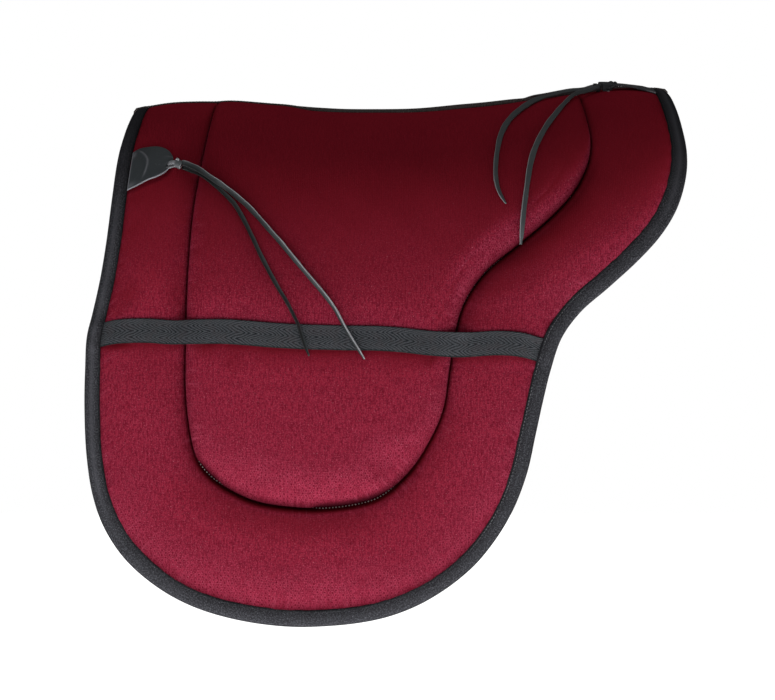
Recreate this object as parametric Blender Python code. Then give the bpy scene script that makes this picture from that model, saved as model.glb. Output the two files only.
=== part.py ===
# Draped saddle pad: two padded halves hung over a spine strip.
# Each half is lining + foam core + raised foam insert + perforated cover,
# bound round the edge with folded tape, with a girth keeper strap across it
# and leather tie patches with laces at the front and at the rear.
# Frame: +Z up, X along the spine (front at -X, rear at +X), left half at -Y.
# Origin: underside of the spine tape at its lowest dip.

import bpy
import bmesh
from math import sin, cos, exp, radians, pi, sqrt
from mathutils import Vector, Matrix
from mathutils.bvhtree import BVHTree

MM = 0.001

# ---------------------------------------------------------------- dimensions
GAP = 0.3 * MM                 # clearance between touching pieces
SEAT = 2.0 * MM                # thickness of the tape under the spine
LEAN_MAX = radians(80.0)       # how steep the flap hangs near its hem
LEAN_LEN = 0.135               # how quickly it turns down from the spine
SPINE_FLAT = 7.5 * MM          # half width of the level strip on the spine
GUSSET_HALF = 7.0 * MM
S_TOP = 16.5 * MM              # where each half starts, measured from the spine
HINGE_S = 15.5 * MM

LINING_T = 2.0 * MM
COVER_T = 2.0 * MM
EDGE_H = 9.0 * MM              # pressed edge under the binding
RIM_H = 13.0 * MM              # padded rim
LIP_H = 11.5 * MM              # outer lip of the sewn channel
CHANNEL_H = 6.0 * MM           # bottom of the sewn channel
WALL_H = 18.5 * MM             # top of the insert's side wall
INSERT_H = 22.0 * MM           # raised insert
CORE_T = 5.4 * MM              # foam core under the insert

BIND_W = 17.5 * MM             # binding, one leg
BIND_T = 1.7 * MM
STRAP_W = 25.4 * MM            # one inch webbing
STRAP_T = 1.8 * MM
LEATHER_T = 1.8 * MM
LACE_D = 4.5 * MM

ROWS = 10                      # stations down the front and rear edges
COLS = 8                       # stations along the hem

# Outline of one half laid flat: (along the spine, down from the spine), mm
OUTLINE = [(-281, 0), (-282, 31), (-285, 68), (-289, 108), (-292, 165), (-295, 210),
           (-300, 252), (-307, 289), (-312, 312), (-313, 345), (-313, 385), (-310, 436),
           (-303, 478), (-290, 514), (-266, 550), (-228, 583), (-176, 606), (-115, 613),
           (-58, 610), (2, 600), (52, 579), (88, 555), (113, 528), (132, 498),
           (146, 463), (155, 425), (163, 391), (171, 361), (183, 329), (203, 305),
           (233, 283), (263, 258), (288, 231), (307, 199), (319, 160), (322, 130),
           (320, 95), (317, 58), (315, 28), (313, 0)]

# Centre line of the sewn channel round the insert, mm
CHANNEL = [(-187.5, 0), (-188.5, 40), (-192.5, 90), (-197.5, 135), (-203.5, 190), (-206.8, 255),
           (-207.4, 320), (-207, 377), (-202, 420), (-194, 448), (-176, 468), (-141, 485),
           (-95, 490), (-48, 487), (-8, 477), (22, 453), (45, 420), (59, 389),
           (65, 352), (71, 315), (81, 281), (104, 249), (137, 225), (172, 200),
           (197, 176), (214, 145), (219, 118), (217, 85), (214, 45), (213, 0)]

# Height of the spine along the pad, mm: (x, rise)
SPINE_RISE = [(-310, 1.5), (-270, 5.5), (-235, 8.5), (-180, 9.0), (-120, 4.5), (-70, 1.2),
              (-35, 0.0), (25, 0.0), (90, 5.0), (130, 9.5), (170, 15.5), (210, 22.0),
              (250, 27.0), (282, 28.5), (330, 26.0)]

# Centre line of the girth keeper strap, mm
STRAP_LINE = [(-300, 312.5), (-255, 313.6), (-230, 316), (-207, 317.6), (-130, 317.4), (-50, 316.2),
              (14, 317.6), (66, 324.6), (118, 327.2), (141, 331.8), (158.6, 338.6), (170, 342.8)]

# Tie patches: (along, upper edge, lower edge), mm, from the binding to the tip
FRONT_PATCH = [(-269.5, 106.8, 155.5), (-262, 106.2, 153.8), (-252, 107.6, 151), (-242, 110, 148),
               (-235, 113.2, 144), (-230.5, 117.4, 139), (-228, 123, 132.5)]
REAR_PATCH = [(298, 19, 38), (289, 18.5, 37.4), (279, 18.7, 36), (269, 19.2, 34),
              (259, 20, 32), (251, 21.2, 30.5), (246, 22.4, 29.2)]
FRONT_KNOT = (-221.5, 131.0)
REAR_KNOT = (239.0, 25.8)

FRONT_LACE_A = [(-214.0, 134.0), (-200, 145), (-187.8, 155), (-171, 166.8), (-154.4, 179.1), (-137.9, 193.4),
                (-121.5, 210.5), (-104, 229), (-82, 253.6), (-65.6, 271.6), (-53.6, 286.6), (-45.6, 300.4),
                (-36.8, 315.4), (-22.4, 338)]
FRONT_LACE_B = [(-215.5, 142.5), (-202, 153.5), (-187, 165), (-173, 177), (-160, 190.5), (-149.5, 204),
                (-141, 217), (-133.1, 231.6), (-120.8, 254), (-108.9, 273.6), (-97.6, 292), (-89, 310),
                (-79.3, 336.3)]
REAR_LACE_A = [(230.5, 22.3), (213, 22.8), (197, 24.2), (183, 28), (170, 36), (156, 49), (141.5, 66.7),
               (129, 87.5), (121, 109), (116.5, 134), (116, 159), (125.5, 185.9)]
REAR_LACE_B = [(229.5, 31.0), (217, 36), (206, 46), (194.4, 62.6), (182.3, 82.1), (172.2, 98.6),
               (162.6, 117.1), (154, 140), (149.2, 163.1), (145.4, 186.5), (142.4, 208.3), (140.8, 227.5)]

# Hinge line of each half: height at x = 0 and slope along the spine
HINGE_Z = 28.0 * MM
HINGE_SLOPE = 0.05

# ------------------------------------------------------------------ clearing
for old in list(bpy.data.objects):
    bpy.data.objects.remove(old, do_unlink=True)

pad_parts = bpy.data.collections.new("saddle_pad")
bpy.context.scene.collection.children.link(pad_parts)
guides = bpy.data.collections.new("guides")
bpy.context.scene.collection.children.link(guides)


# ----------------------------------------------------------------- materials
def material(name, colour, rough, metal=0.0):
    mat = bpy.data.materials.new(name)
    mat.use_nodes = True
    bsdf = mat.node_tree.nodes["Principled BSDF"]
    bsdf.inputs["Base Color"].default_value = (colour[0], colour[1], colour[2], 1.0)
    bsdf.inputs["Roughness"].default_value = rough
    bsdf.inputs["Metallic"].default_value = metal
    mat.diffuse_color = (colour[0], colour[1], colour[2], 1.0)
    return mat


COVER_MAT = material("burgundy_air_mesh", (0.30, 0.020, 0.055), 0.78)
FOAM_MAT = material("core_foam", (0.24, 0.24, 0.25), 0.95)
INSERT_MAT = material("insert_foam", (0.62, 0.58, 0.50), 0.95)
LINING_MAT = material("neoprene_lining", (0.035, 0.037, 0.040), 0.85)
TAPE_MAT = material("binding_tape", (0.040, 0.043, 0.048), 0.80)
WEB_MAT = material("herringbone_webbing", (0.055, 0.070, 0.075), 0.72)
LEATHER_MAT = material("black_leather", (0.030, 0.035, 0.045), 0.48)
LACE_MAT = material("lace_leather", (0.022, 0.024, 0.030), 0.50)


# -------------------------------------------------------------- surface model
def monotone_cubic(points):
    """Smooth single-valued curve that never overshoots its control points."""
    xs = [p[0] for p in points]
    ys = [p[1] for p in points]
    n = len(xs)
    sec = [(ys[i + 1] - ys[i]) / (xs[i + 1] - xs[i]) for i in range(n - 1)]
    tan = [sec[0]] + [0.0] * (n - 2) + [sec[-1]]
    for i in range(1, n - 1):
        if sec[i - 1] * sec[i] > 0:
            w1 = 2 * (xs[i + 1] - xs[i]) + (xs[i] - xs[i - 1])
            w2 = (xs[i + 1] - xs[i]) + 2 * (xs[i] - xs[i - 1])
            tan[i] = (w1 + w2) / (w1 / sec[i - 1] + w2 / sec[i])

    def value(x):
        x = min(max(x, xs[0]), xs[-1])
        k = 0
        while k < n - 2 and x > xs[k + 1]:
            k += 1
        h = xs[k + 1] - xs[k]
        t = (x - xs[k]) / h
        return ((1 + 2 * t) * (1 - t) ** 2 * ys[k] + t * (1 - t) ** 2 * h * tan[k]
                + t * t * (3 - 2 * t) * ys[k + 1] + t * t * (t - 1) * h * tan[k + 1])
    return value


spine_curve = monotone_cubic([(a * MM, b * MM) for a, b in SPINE_RISE])


def lean(s):
    return LEAN_MAX * (1 - exp(-max(s - SPINE_FLAT, 0.0) / LEAN_LEN))


STEP = 0.5 * MM
SECTION = [(0.0, 0.0)]
for k in range(1400):
    a, b = lean(k * STEP), lean((k + 1) * STEP)
    y0, z0 = SECTION[-1]
    SECTION.append((y0 + STEP * (cos(a) + cos(b)) / 2, z0 - STEP * (sin(a) + sin(b)) / 2))


def section(s):
    k = min(int(s / STEP), len(SECTION) - 2)
    t = s / STEP - k
    return (SECTION[k][0] * (1 - t) + SECTION[k + 1][0] * t,
            SECTION[k][1] * (1 - t) + SECTION[k + 1][1] * t)


def skin(side, x, s, h):
    """Point at pattern position (x, s) and height h off the inner surface."""
    y, z = section(max(s, 0.0))
    t = lean(s)
    return Vector((x, side * (y + h * sin(t)), z + h * cos(t) + spine_curve(x) + SEAT))


def skin_normal(side, s):
    t = lean(s)
    return Vector((0.0, side * sin(t), cos(t)))


# ------------------------------------------------------------- pattern curves
def smooth_path(points, per=24):
    """Dense centripetal spline through control points given in mm."""
    p = [Vector((a * MM, b * MM)) for a, b in points]
    p = [p[0] * 2 - p[1]] + p + [p[-1] * 2 - p[-2]]
    out = []
    for i in range(1, len(p) - 2):
        t = [0.0]
        for j in range(3):
            t.append(t[-1] + max((p[i + j] - p[i + j - 1]).length, 1e-9) ** 0.5)
        for k in range(per):
            u = t[1] + (t[2] - t[1]) * k / per
            a1 = p[i - 1] * ((t[1] - u) / (t[1] - t[0])) + p[i] * ((u - t[0]) / (t[1] - t[0]))
            a2 = p[i] * ((t[2] - u) / (t[2] - t[1])) + p[i + 1] * ((u - t[1]) / (t[2] - t[1]))
            a3 = p[i + 1] * ((t[3] - u) / (t[3] - t[2])) + p[i + 2] * ((u - t[2]) / (t[3] - t[2]))
            b1 = a1 * ((t[2] - u) / (t[2] - t[0])) + a2 * ((u - t[0]) / (t[2] - t[0]))
            b2 = a2 * ((t[3] - u) / (t[3] - t[1])) + a3 * ((u - t[1]) / (t[3] - t[1]))
            out.append(b1 * ((t[2] - u) / (t[2] - t[1])) + b2 * ((u - t[1]) / (t[2] - t[1])))
    out.append(p[-2].copy())
    return out


def arc_lengths(path):
    acc = [0.0]
    for a, b in zip(path, path[1:]):
        acc.append(acc[-1] + (b - a).length)
    return acc


def at_length(path, acc, d):
    d = min(max(d, 0.0), acc[-1])
    k = 0
    while k < len(acc) - 2 and acc[k + 1] < d:
        k += 1
    t = (d - acc[k]) / (acc[k + 1] - acc[k])
    return path[k] * (1 - t) + path[k + 1] * t


def tangent_at(path, acc, d):
    return (at_length(path, acc, d + 4 * MM) - at_length(path, acc, d - 4 * MM)).normalized()


def level_length(path, acc, s, from_front):
    """Distance along the path where it crosses level s, from either end."""
    order = range(len(path) - 1) if from_front else range(len(path) - 2, -1, -1)
    for k in order:
        lo, hi = path[k].y, path[k + 1].y
        if (lo - s) * (hi - s) <= 0 and lo != hi:
            return acc[k] + (acc[k + 1] - acc[k]) * (s - lo) / (hi - lo)
    return acc[0] if from_front else acc[-1]


ROW_F = [(i / ROWS) ** 1.35 for i in range(ROWS + 1)]


def stations(points, corner_front, corner_rear):
    """Stations round a U-shaped curve with their inward normals."""
    path = smooth_path(points)
    acc = arc_lengths(path)
    marks = [level_length(path, acc, S_TOP + (corner_front - S_TOP) * f, True) for f in ROW_F]
    last = [level_length(path, acc, S_TOP + (corner_rear - S_TOP) * f, False) for f in ROW_F]
    a, b = marks[-1], last[-1]
    marks += [a + (b - a) * j / COLS for j in range(1, COLS)]
    marks += last[::-1]
    out = []
    for i, d in enumerate(marks):
        p = at_length(path, acc, d)
        t = tangent_at(path, acc, d)
        n = Vector((t.y, -t.x))
        if i == 0:
            n = Vector((1.0, 0.0))
        if i == len(marks) - 1:
            n = Vector((-1.0, 0.0))
        out.append((p, n))
    return out


EDGE = stations(OUTLINE, 0.505, 0.500)
RING = stations(CHANNEL, 0.440, 0.430)
N_ST = len(EDGE)


def inset(base, d):
    return [p + n * d for p, n in base]


def between(a, b, t):
    return [p * (1 - t) + q * t for p, q in zip(a, b)]


LINE_E = inset(EDGE, BIND_T + 0.6 * MM)
LINE_B = inset(EDGE, BIND_W + 0.5 * MM)
LINE_LIP = inset(RING, -5.0 * MM)
LINE_C = inset(RING, 0.0)
LINE_W = inset(RING, 5.0 * MM)
LINE_P = inset(RING, 14.0 * MM)
LINE_M = between(LINE_B, LINE_LIP, 0.5)


def inner_patch(line):
    """Grid of pattern points filling a U line closed by a straight top."""
    left = line[:ROWS + 1]
    bottom = line[ROWS:ROWS + COLS + 1]
    right = line[ROWS + COLS:][::-1]
    top = [left[0] * (1 - j / COLS) + right[0] * (j / COLS) for j in range(COLS + 1)]
    grid = []
    for i in range(ROWS + 1):
        v = ROW_F[i]
        row = []
        for j in range(COLS + 1):
            u = j / COLS
            p = (left[i] * (1 - u) + right[i] * u + top[j] * (1 - v) + bottom[j] * v
                 - (top[0] * (1 - u) * (1 - v) + top[-1] * u * (1 - v)
                    + bottom[0] * (1 - u) * v + bottom[-1] * u * v))
            row.append(p)
        grid.append(row)
    return grid


PATCH = inner_patch(LINE_P)


def top_fade(i_row):
    """The insert thins out where it meets the spine channel."""
    return {0: 0.60, 1: 0.20}.get(i_row, 0.0)


def row_of(i):
    """Row number of a station counted from the spine."""
    return min(i, N_ST - 1 - i)


# ---------------------------------------------------------------- mesh makers
def new_object(name, bm, mat, smooth=True):
    bmesh.ops.recalc_face_normals(bm, faces=bm.faces)
    mesh = bpy.data.meshes.new(name)
    bm.to_mesh(mesh)
    bm.free()
    if smooth:
        mesh.shade_smooth()
        mesh.set_sharp_from_angle(angle=radians(40))
    mesh.materials.append(mat)
    obj = bpy.data.objects.new(name, mesh)
    pad_parts.objects.link(obj)
    return obj


def slab(name, side, lines, heights, fill, mat):
    """Closed layer: U lines joined in strips, then the inner patch.

    lines    list of U lines, outermost first
    heights  for each line, and last for the patch: function(row) -> (low, high)
    fill     whether the inside of the last line is filled by the patch grid
    """
    bm = bmesh.new()
    lo, hi = [], []
    for line, height in zip(lines, heights):
        lo.append([bm.verts.new(skin(side, p.x, p.y, height(row_of(i))[0])) for i, p in enumerate(line)])
        hi.append([bm.verts.new(skin(side, p.x, p.y, height(row_of(i))[1])) for i, p in enumerate(line)])

    def quad(a, b, c, d):
        bm.faces.new((a, b, c, d))

    n_lines = len(lines)
    for k in range(n_lines - 1):
        for i in range(N_ST - 1):
            quad(hi[k][i], hi[k][i + 1], hi[k + 1][i + 1], hi[k + 1][i])
            quad(lo[k][i], lo[k + 1][i], lo[k + 1][i + 1], lo[k][i + 1])
        for i in (0, N_ST - 1):
            quad(lo[k][i], lo[k + 1][i], hi[k + 1][i], hi[k][i])
    for i in range(N_ST - 1):
        quad(lo[0][i], lo[0][i + 1], hi[0][i + 1], hi[0][i])
    if fill:
        height = heights[-1]
        glo = [[None] * (COLS + 1) for _ in range(ROWS + 1)]
        ghi = [[None] * (COLS + 1) for _ in range(ROWS + 1)]
        for i in range(ROWS + 1):
            for j in range(COLS + 1):
                if j == 0:
                    pair = (lo[-1][i], hi[-1][i])
                elif j == COLS:
                    pair = (lo[-1][N_ST - 1 - i], hi[-1][N_ST - 1 - i])
                elif i == ROWS:
                    pair = (lo[-1][ROWS + j], hi[-1][ROWS + j])
                else:
                    p = PATCH[i][j]
                    low, high = height(i)
                    pair = (bm.verts.new(skin(side, p.x, p.y, low)),
                            bm.verts.new(skin(side, p.x, p.y, high)))
                glo[i][j], ghi[i][j] = pair
        for i in range(ROWS):
            for j in range(COLS):
                quad(ghi[i][j], ghi[i][j + 1], ghi[i + 1][j + 1], ghi[i + 1][j])
                quad(glo[i][j], glo[i + 1][j], glo[i + 1][j + 1], glo[i][j + 1])
        for j in range(COLS):
            quad(glo[0][j], glo[0][j + 1], ghi[0][j + 1], ghi[0][j])
    bmesh.ops.triangulate(bm, faces=bm.faces, quad_method='FIXED', ngon_method='BEAUTY')
    return new_object(name, bm, mat)


def tube_loft(name, rings, mat, smooth=True):
    """Closed loft through rings of equal point count, capped at both ends."""
    bm = bmesh.new()
    vs = [[bm.verts.new(p) for p in ring] for ring in rings]
    n = len(rings[0])
    for a, b in zip(vs, vs[1:]):
        for k in range(n):
            bm.faces.new((a[k], a[(k + 1) % n], b[(k + 1) % n], b[k]))
    bm.faces.new(vs[0])
    bm.faces.new(vs[-1][::-1])
    bmesh.ops.triangulate(bm, faces=bm.faces, quad_method='FIXED', ngon_method='EAR_CLIP')
    return new_object(name, bm, mat, smooth)


# -------------------------------------------------------------------- layers
def flat(low, high):
    return lambda row: (low, high)


def faded(low, high, rim_high):
    """Height that drops towards the rim height near the spine."""
    def value(row):
        f = top_fade(row)
        h = high * (1 - f) + rim_high * f
        l = low * (1 - f) + (rim_high - (high - low)) * f if low > CORE_T + LINING_T + 2 * GAP else low
        return (l, h)
    return value


COVER_LINES = [LINE_E, LINE_B, LINE_M, LINE_LIP, LINE_C, LINE_W, LINE_P]
CORE_TOP = LINING_T + GAP + CORE_T


def cover_heights():
    t = COVER_T
    return [flat(EDGE_H - t, EDGE_H), flat(EDGE_H - t, EDGE_H), flat(RIM_H - t, RIM_H),
            flat(LIP_H - t, LIP_H), flat(CHANNEL_H - t, CHANNEL_H),
            faded(WALL_H - t, WALL_H, LIP_H), faded(INSERT_H - t, INSERT_H, RIM_H),
            faded(INSERT_H - t, INSERT_H, RIM_H)]


def core_heights():
    b = LINING_T + GAP
    t = COVER_T + GAP
    return [flat(b, EDGE_H - t), flat(b, EDGE_H - t), flat(b, RIM_H - t), flat(b, LIP_H - t),
            flat(b, CHANNEL_H - t), flat(b, CORE_TOP), flat(b, CORE_TOP), flat(b, CORE_TOP)]


def insert_heights():
    b = CORE_TOP + GAP
    t = COVER_T + GAP

    def value(drop):
        def inner(row):
            f = top_fade(row)
            top = INSERT_H * (1 - f) + RIM_H * f - t - drop
            return (b, top)
        return inner
    return [value(0.7 * MM), value(0.0)]


def build_binding(name, side):
    """Folded tape: a U section run round the edge of the half."""
    top = EDGE_H + GAP
    low = -GAP
    profile = [(BIND_W, top + BIND_T), (1.0 * MM, top + BIND_T), (0.0, top + BIND_T - 1.0 * MM),
               (0.0, low - BIND_T + 1.0 * MM), (1.0 * MM, low - BIND_T), (BIND_W, low - BIND_T),
               (BIND_W, low), (BIND_T + 0.3 * MM, low), (BIND_T + 0.3 * MM, top), (BIND_W, top)]
    rings = []
    for p, n in EDGE:
        rings.append([skin(side, p.x + n.x * d, p.y + n.y * d, h) for d, h in profile])
    return tube_loft(name, rings, TAPE_MAT)


def surface_height(trees, side, x, s):
    """Highest of the given surfaces above the inner surface at (x, s)."""
    top = 80 * MM
    best = 0.0
    start = skin(side, x, s, top)
    for tree in trees:
        hit = tree.ray_cast(start, -skin_normal(side, s))
        if hit[0] is not None:
            best = max(best, top - hit[3])
    return best


def tree_of(obj):
    return BVHTree.FromPolygons([v.co.copy() for v in obj.data.vertices],
                                [tuple(p.vertices) for p in obj.data.polygons])


def strap_path():
    path = smooth_path(STRAP_LINE)
    acc = arc_lengths(path)
    edge_path = smooth_path(OUTLINE)
    edge_acc = arc_lengths(edge_path)
    front = at_length(edge_path, edge_acc, level_length(edge_path, edge_acc, 0.315, True)).x
    rear = at_length(edge_path, edge_acc, level_length(edge_path, edge_acc, 0.339, False)).x
    lo = front + BIND_W + 1.6 * MM
    hi = rear - BIND_W - 6.5 * MM
    n = 30
    pts = []
    for i in range(n + 1):
        x = lo + (hi - lo) * i / n
        k = 0
        while k < len(path) - 2 and path[k + 1].x < x:
            k += 1
        t = (x - path[k].x) / (path[k + 1].x - path[k].x)
        pts.append(path[k] * (1 - t) + path[k + 1] * t)
    return pts


def build_strap(name, side, trees):
    """Webbing strap that bridges the channels and lies on the insert."""
    pts = strap_path()
    half = STRAP_W / 2
    raw = []
    for p in pts:
        raw.append(max(surface_height(trees, side, p.x + dx, p.y + w)
                       for w in (-half, -half / 2, 0, half / 2, half)
                       for dx in (-6 * MM, 0, 6 * MM)))
    n = len(pts)
    lift = [max(raw[max(i - 1, 0):i + 2]) for i in range(n)]
    lift = [(lift[max(i - 1, 0)] + 2 * lift[i] + lift[min(i + 1, n - 1)]) / 4 for i in range(n)]
    lift = [max(a, b) + 0.8 * MM for a, b in zip(lift, raw)]
    rings = []
    for i, p in enumerate(pts):
        d = pts[min(i + 1, n - 1)] - pts[max(i - 1, 0)]
        across = Vector((-d.y, d.x)).normalized() * half
        if across.y < 0:
            across.negate()
        a = p - across
        b = p + across
        h = lift[i]
        base_n = skin_normal(side, p.y)
        pa, pb = skin(side, a.x, a.y, h), skin(side, b.x, b.y, h)
        rings.append([pa, pa + base_n * STRAP_T, pb + base_n * STRAP_T, pb])
    return tube_loft(name, rings, WEB_MAT, smooth=False)


def build_patch(name, side, shape, trees):
    """Leather tie patch, wide at the binding and narrow at its tip."""
    rings = []
    for x, s0, s1 in shape:
        row = []
        for k in range(5):
            s = (s0 + (s1 - s0) * k / 4) * MM
            h = max(surface_height(trees, side, x * MM + dx, s + ds)
                    for dx in (-4 * MM, 0, 4 * MM) for ds in (-3 * MM, 0, 3 * MM))
            row.append((x * MM, s, h + 0.5 * MM))
        low = [skin(side, a, b, c) for a, b, c in row]
        high = [skin(side, a, b, c + LEATHER_T) for a, b, c in row]
        rings.append(low + high[::-1])
    return tube_loft(name, rings, LEATHER_MAT, smooth=False)


def build_knot(name, side, at, trees):
    """Lark's head knot of the thong, as one rounded lump."""
    x, s = at[0] * MM, at[1] * MM
    h = max(surface_height(trees, side, x + dx, s + ds)
            for dx in (-6 * MM, 0, 6 * MM) for ds in (-6 * MM, 0, 6 * MM))
    bm = bmesh.new()
    bmesh.ops.create_uvsphere(bm, u_segments=10, v_segments=6, radius=1.0)
    n = skin_normal(side, s)
    along = Vector((1, 0, 0))
    across = n.cross(along)
    frame = Matrix((along * (6.0 * MM), across * (7.0 * MM), n * (3.6 * MM))).transposed().to_4x4()
    frame.translation = skin(side, x, s, h + 4.4 * MM)
    bmesh.ops.transform(bm, matrix=frame, verts=bm.verts)
    bmesh.ops.triangulate(bm, faces=bm.faces)
    return new_object(name, bm, LACE_MAT)


def lace_route(points, side, trees, step=9.0 * MM):
    """Points of a lace that lies on whatever is under it."""
    path = smooth_path(points)
    acc = arc_lengths(path)
    n = int(round(acc[-1] / step))
    pts = [at_length(path, acc, acc[-1] * i / n) for i in range(n + 1)]
    raw = []
    for p in pts:
        raw.append(max(surface_height(trees, side, p.x + dx, p.y + ds)
                       for dx in (-4 * MM, 0, 4 * MM) for ds in (-4 * MM, 0, 4 * MM)))
    lift = [max(raw[max(i - 1, 0):i + 2]) for i in range(n + 1)]
    soft = [(lift[max(i - 1, 0)] + 2 * lift[i] + lift[min(i + 1, n)]) / 4 for i in range(n + 1)]
    return [skin(side, p.x, p.y, max(a, b) + LACE_D / 2 + 0.7 * MM)
            for p, a, b in zip(pts, soft, raw)]


def build_lace(name, side, points, trees):
    """Thong tail: a thin tube along its route, with filled ends."""
    route = lace_route(points, side, trees)
    curve = bpy.data.curves.new(name, 'CURVE')
    curve.dimensions = '3D'
    curve.bevel_depth = LACE_D / 2
    curve.bevel_resolution = 2
    curve.use_fill_caps = True
    spline = curve.splines.new('POLY')
    spline.points.add(len(route) - 1)
    for point, co in zip(spline.points, route):
        point.co = (co.x, co.y, co.z, 1.0)
    curve.materials.append(LACE_MAT)
    obj = bpy.data.objects.new(name, curve)
    pad_parts.objects.link(obj)
    return obj


# ----------------------------------------------------------------- each half
def build_half(label, side):
    made = []
    cover = slab(label + "_cover", side, COVER_LINES, cover_heights(), True, COVER_MAT)
    made.append(cover)
    made.append(slab(label + "_foam_core", side, COVER_LINES, core_heights(), True, FOAM_MAT))
    made.append(slab(label + "_foam_insert", side, [LINE_P], insert_heights(), True, INSERT_MAT))
    lining_lines = [LINE_E, LINE_B, LINE_M, LINE_LIP, LINE_W, LINE_P]
    made.append(slab(label + "_lining", side, lining_lines,
                     [flat(0.0, LINING_T)] * 7, True, LINING_MAT))
    binding = build_binding(label + "_binding", side)
    made.append(binding)
    base = [tree_of(cover), tree_of(binding)]
    strap = build_strap(label + "_girth_strap", side, base)
    made.append(strap)
    made.append(build_patch(label + "_front_patch", side, FRONT_PATCH, base))
    made.append(build_patch(label + "_rear_patch", side, REAR_PATCH, base))
    made.append(build_knot(label + "_front_knot", side, FRONT_KNOT, base))
    made.append(build_knot(label + "_rear_knot", side, REAR_KNOT, base))
    under = base + [tree_of(strap)]
    for name, pts in (("_front_lace_a", FRONT_LACE_A), ("_front_lace_b", FRONT_LACE_B),
                      ("_rear_lace_a", REAR_LACE_A), ("_rear_lace_b", REAR_LACE_B)):
        made.append(build_lace(label + name, side, pts, under))
    axis = bpy.data.objects.new(label + "_fold_axis", None)
    axis.location = (0.0, side * HINGE_S, HINGE_Z)
    axis.empty_display_size = 0.05
    guides.objects.link(axis)
    for obj in made:
        obj.parent = axis
        obj.matrix_parent_inverse = Matrix.Translation(axis.location).inverted()
    return made


build_half("left", -1.0)
build_half("right", 1.0)


# --------------------------------------------------------------- spine strip
def spine_stations(lo, hi):
    marks = [lo]
    for a, _ in SPINE_RISE:
        if lo + 0.01 < a * MM < hi - 0.01:
            marks.append(a * MM)
    marks.append(hi)
    return marks


def spine_strip(name, half, low, high, lo, hi, mat):
    rings = []
    for x in spine_stations(lo, hi):
        z = spine_curve(x) + SEAT
        rings.append([Vector((x, -half, z + low)), Vector((x, -half, z + high)),
                      Vector((x, half, z + high)), Vector((x, half, z + low))])
    return tube_loft(name, rings, mat, smooth=False)


FRONT_X = OUTLINE[0][0] * MM
REAR_X = OUTLINE[-1][0] * MM
spine_strip("spine_gusset", GUSSET_HALF, GAP, 11.0 * MM, FRONT_X, REAR_X, LINING_MAT)
spine_strip("spine_tape_top", GUSSET_HALF - 0.5 * MM, 11.0 * MM + GAP, 13.0 * MM, FRONT_X, REAR_X, TAPE_MAT)
spine_strip("spine_tape_under", GUSSET_HALF - 0.5 * MM, -SEAT, 0.0, FRONT_X, REAR_X, TAPE_MAT)

bpy.context.view_layer.update()
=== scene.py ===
import bpy
import numpy as np
from math import sin, cos, pi, radians, sqrt, exp, atan2
from mathutils import Vector, Matrix
from mathutils.bvhtree import BVHTree


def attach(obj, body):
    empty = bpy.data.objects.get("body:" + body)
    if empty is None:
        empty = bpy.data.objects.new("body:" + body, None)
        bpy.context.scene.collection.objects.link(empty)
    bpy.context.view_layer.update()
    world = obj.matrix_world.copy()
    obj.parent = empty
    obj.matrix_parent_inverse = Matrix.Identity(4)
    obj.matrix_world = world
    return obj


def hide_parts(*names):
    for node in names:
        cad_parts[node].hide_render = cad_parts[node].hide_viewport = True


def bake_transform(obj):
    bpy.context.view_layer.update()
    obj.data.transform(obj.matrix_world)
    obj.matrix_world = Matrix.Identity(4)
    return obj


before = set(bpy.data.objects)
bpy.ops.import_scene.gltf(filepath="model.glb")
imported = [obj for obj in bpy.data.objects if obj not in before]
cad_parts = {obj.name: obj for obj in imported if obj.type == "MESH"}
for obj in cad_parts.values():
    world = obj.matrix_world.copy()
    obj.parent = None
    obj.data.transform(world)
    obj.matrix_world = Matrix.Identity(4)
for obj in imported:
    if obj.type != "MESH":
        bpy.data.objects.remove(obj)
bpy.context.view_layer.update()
MM = 0.001

# ------------------------------------------------------------------ camera
ELEV = radians(8.0)
DIST = 2.40
AIM = Vector((0.0015, 0.0, -0.2521))
look = Vector((0.0, cos(ELEV), -sin(ELEV)))
cam_data = bpy.data.cameras.new("view")
cam_data.lens = 97.72
cam_data.sensor_width = 36.0
cam_data.sensor_fit = 'HORIZONTAL'
cam_data.clip_end = 50.0
cam = bpy.data.objects.new("view", cam_data)
cam.location = AIM - look * DIST
cam.rotation_euler = (pi / 2 - ELEV, 0.0, 0.0)
bpy.context.scene.collection.objects.link(cam)
bpy.context.scene.camera = cam

bpy.context.scene.view_settings.view_transform = 'Standard'

# ------------------------------------------------------------- dimensions
LEAN_MAX = radians(80.0)
LEAN_LEN = 0.135
SPINE_FLAT = 7.5 * MM
SEAT = 2.0 * MM
BIND_W = 17.5 * MM

OUTLINE = [(-281, 0), (-282, 31), (-285, 68), (-289, 108), (-292, 165), (-295, 210),
           (-300, 252), (-307, 289), (-312, 312), (-313, 345), (-313, 385), (-310, 436),
           (-303, 478), (-290, 514), (-266, 550), (-228, 583), (-176, 606), (-115, 613),
           (-58, 610), (2, 600), (52, 579), (88, 555), (113, 528), (132, 498),
           (146, 463), (155, 425), (163, 391), (171, 361), (183, 329), (203, 305),
           (233, 283), (263, 258), (288, 231), (307, 199), (319, 160), (322, 130),
           (320, 95), (317, 58), (315, 28), (313, 0)]
CHANNEL = [(-187.5, 0), (-188.5, 40), (-192.5, 90), (-197.5, 135), (-203.5, 190), (-206.8, 255),
           (-207.4, 320), (-207, 377), (-202, 420), (-194, 448), (-176, 468), (-141, 485),
           (-95, 490), (-48, 487), (-8, 477), (22, 453), (45, 420), (59, 389),
           (65, 352), (71, 315), (81, 281), (104, 249), (137, 225), (172, 200),
           (197, 176), (214, 145), (219, 118), (217, 85), (214, 45), (213, 0)]
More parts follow.
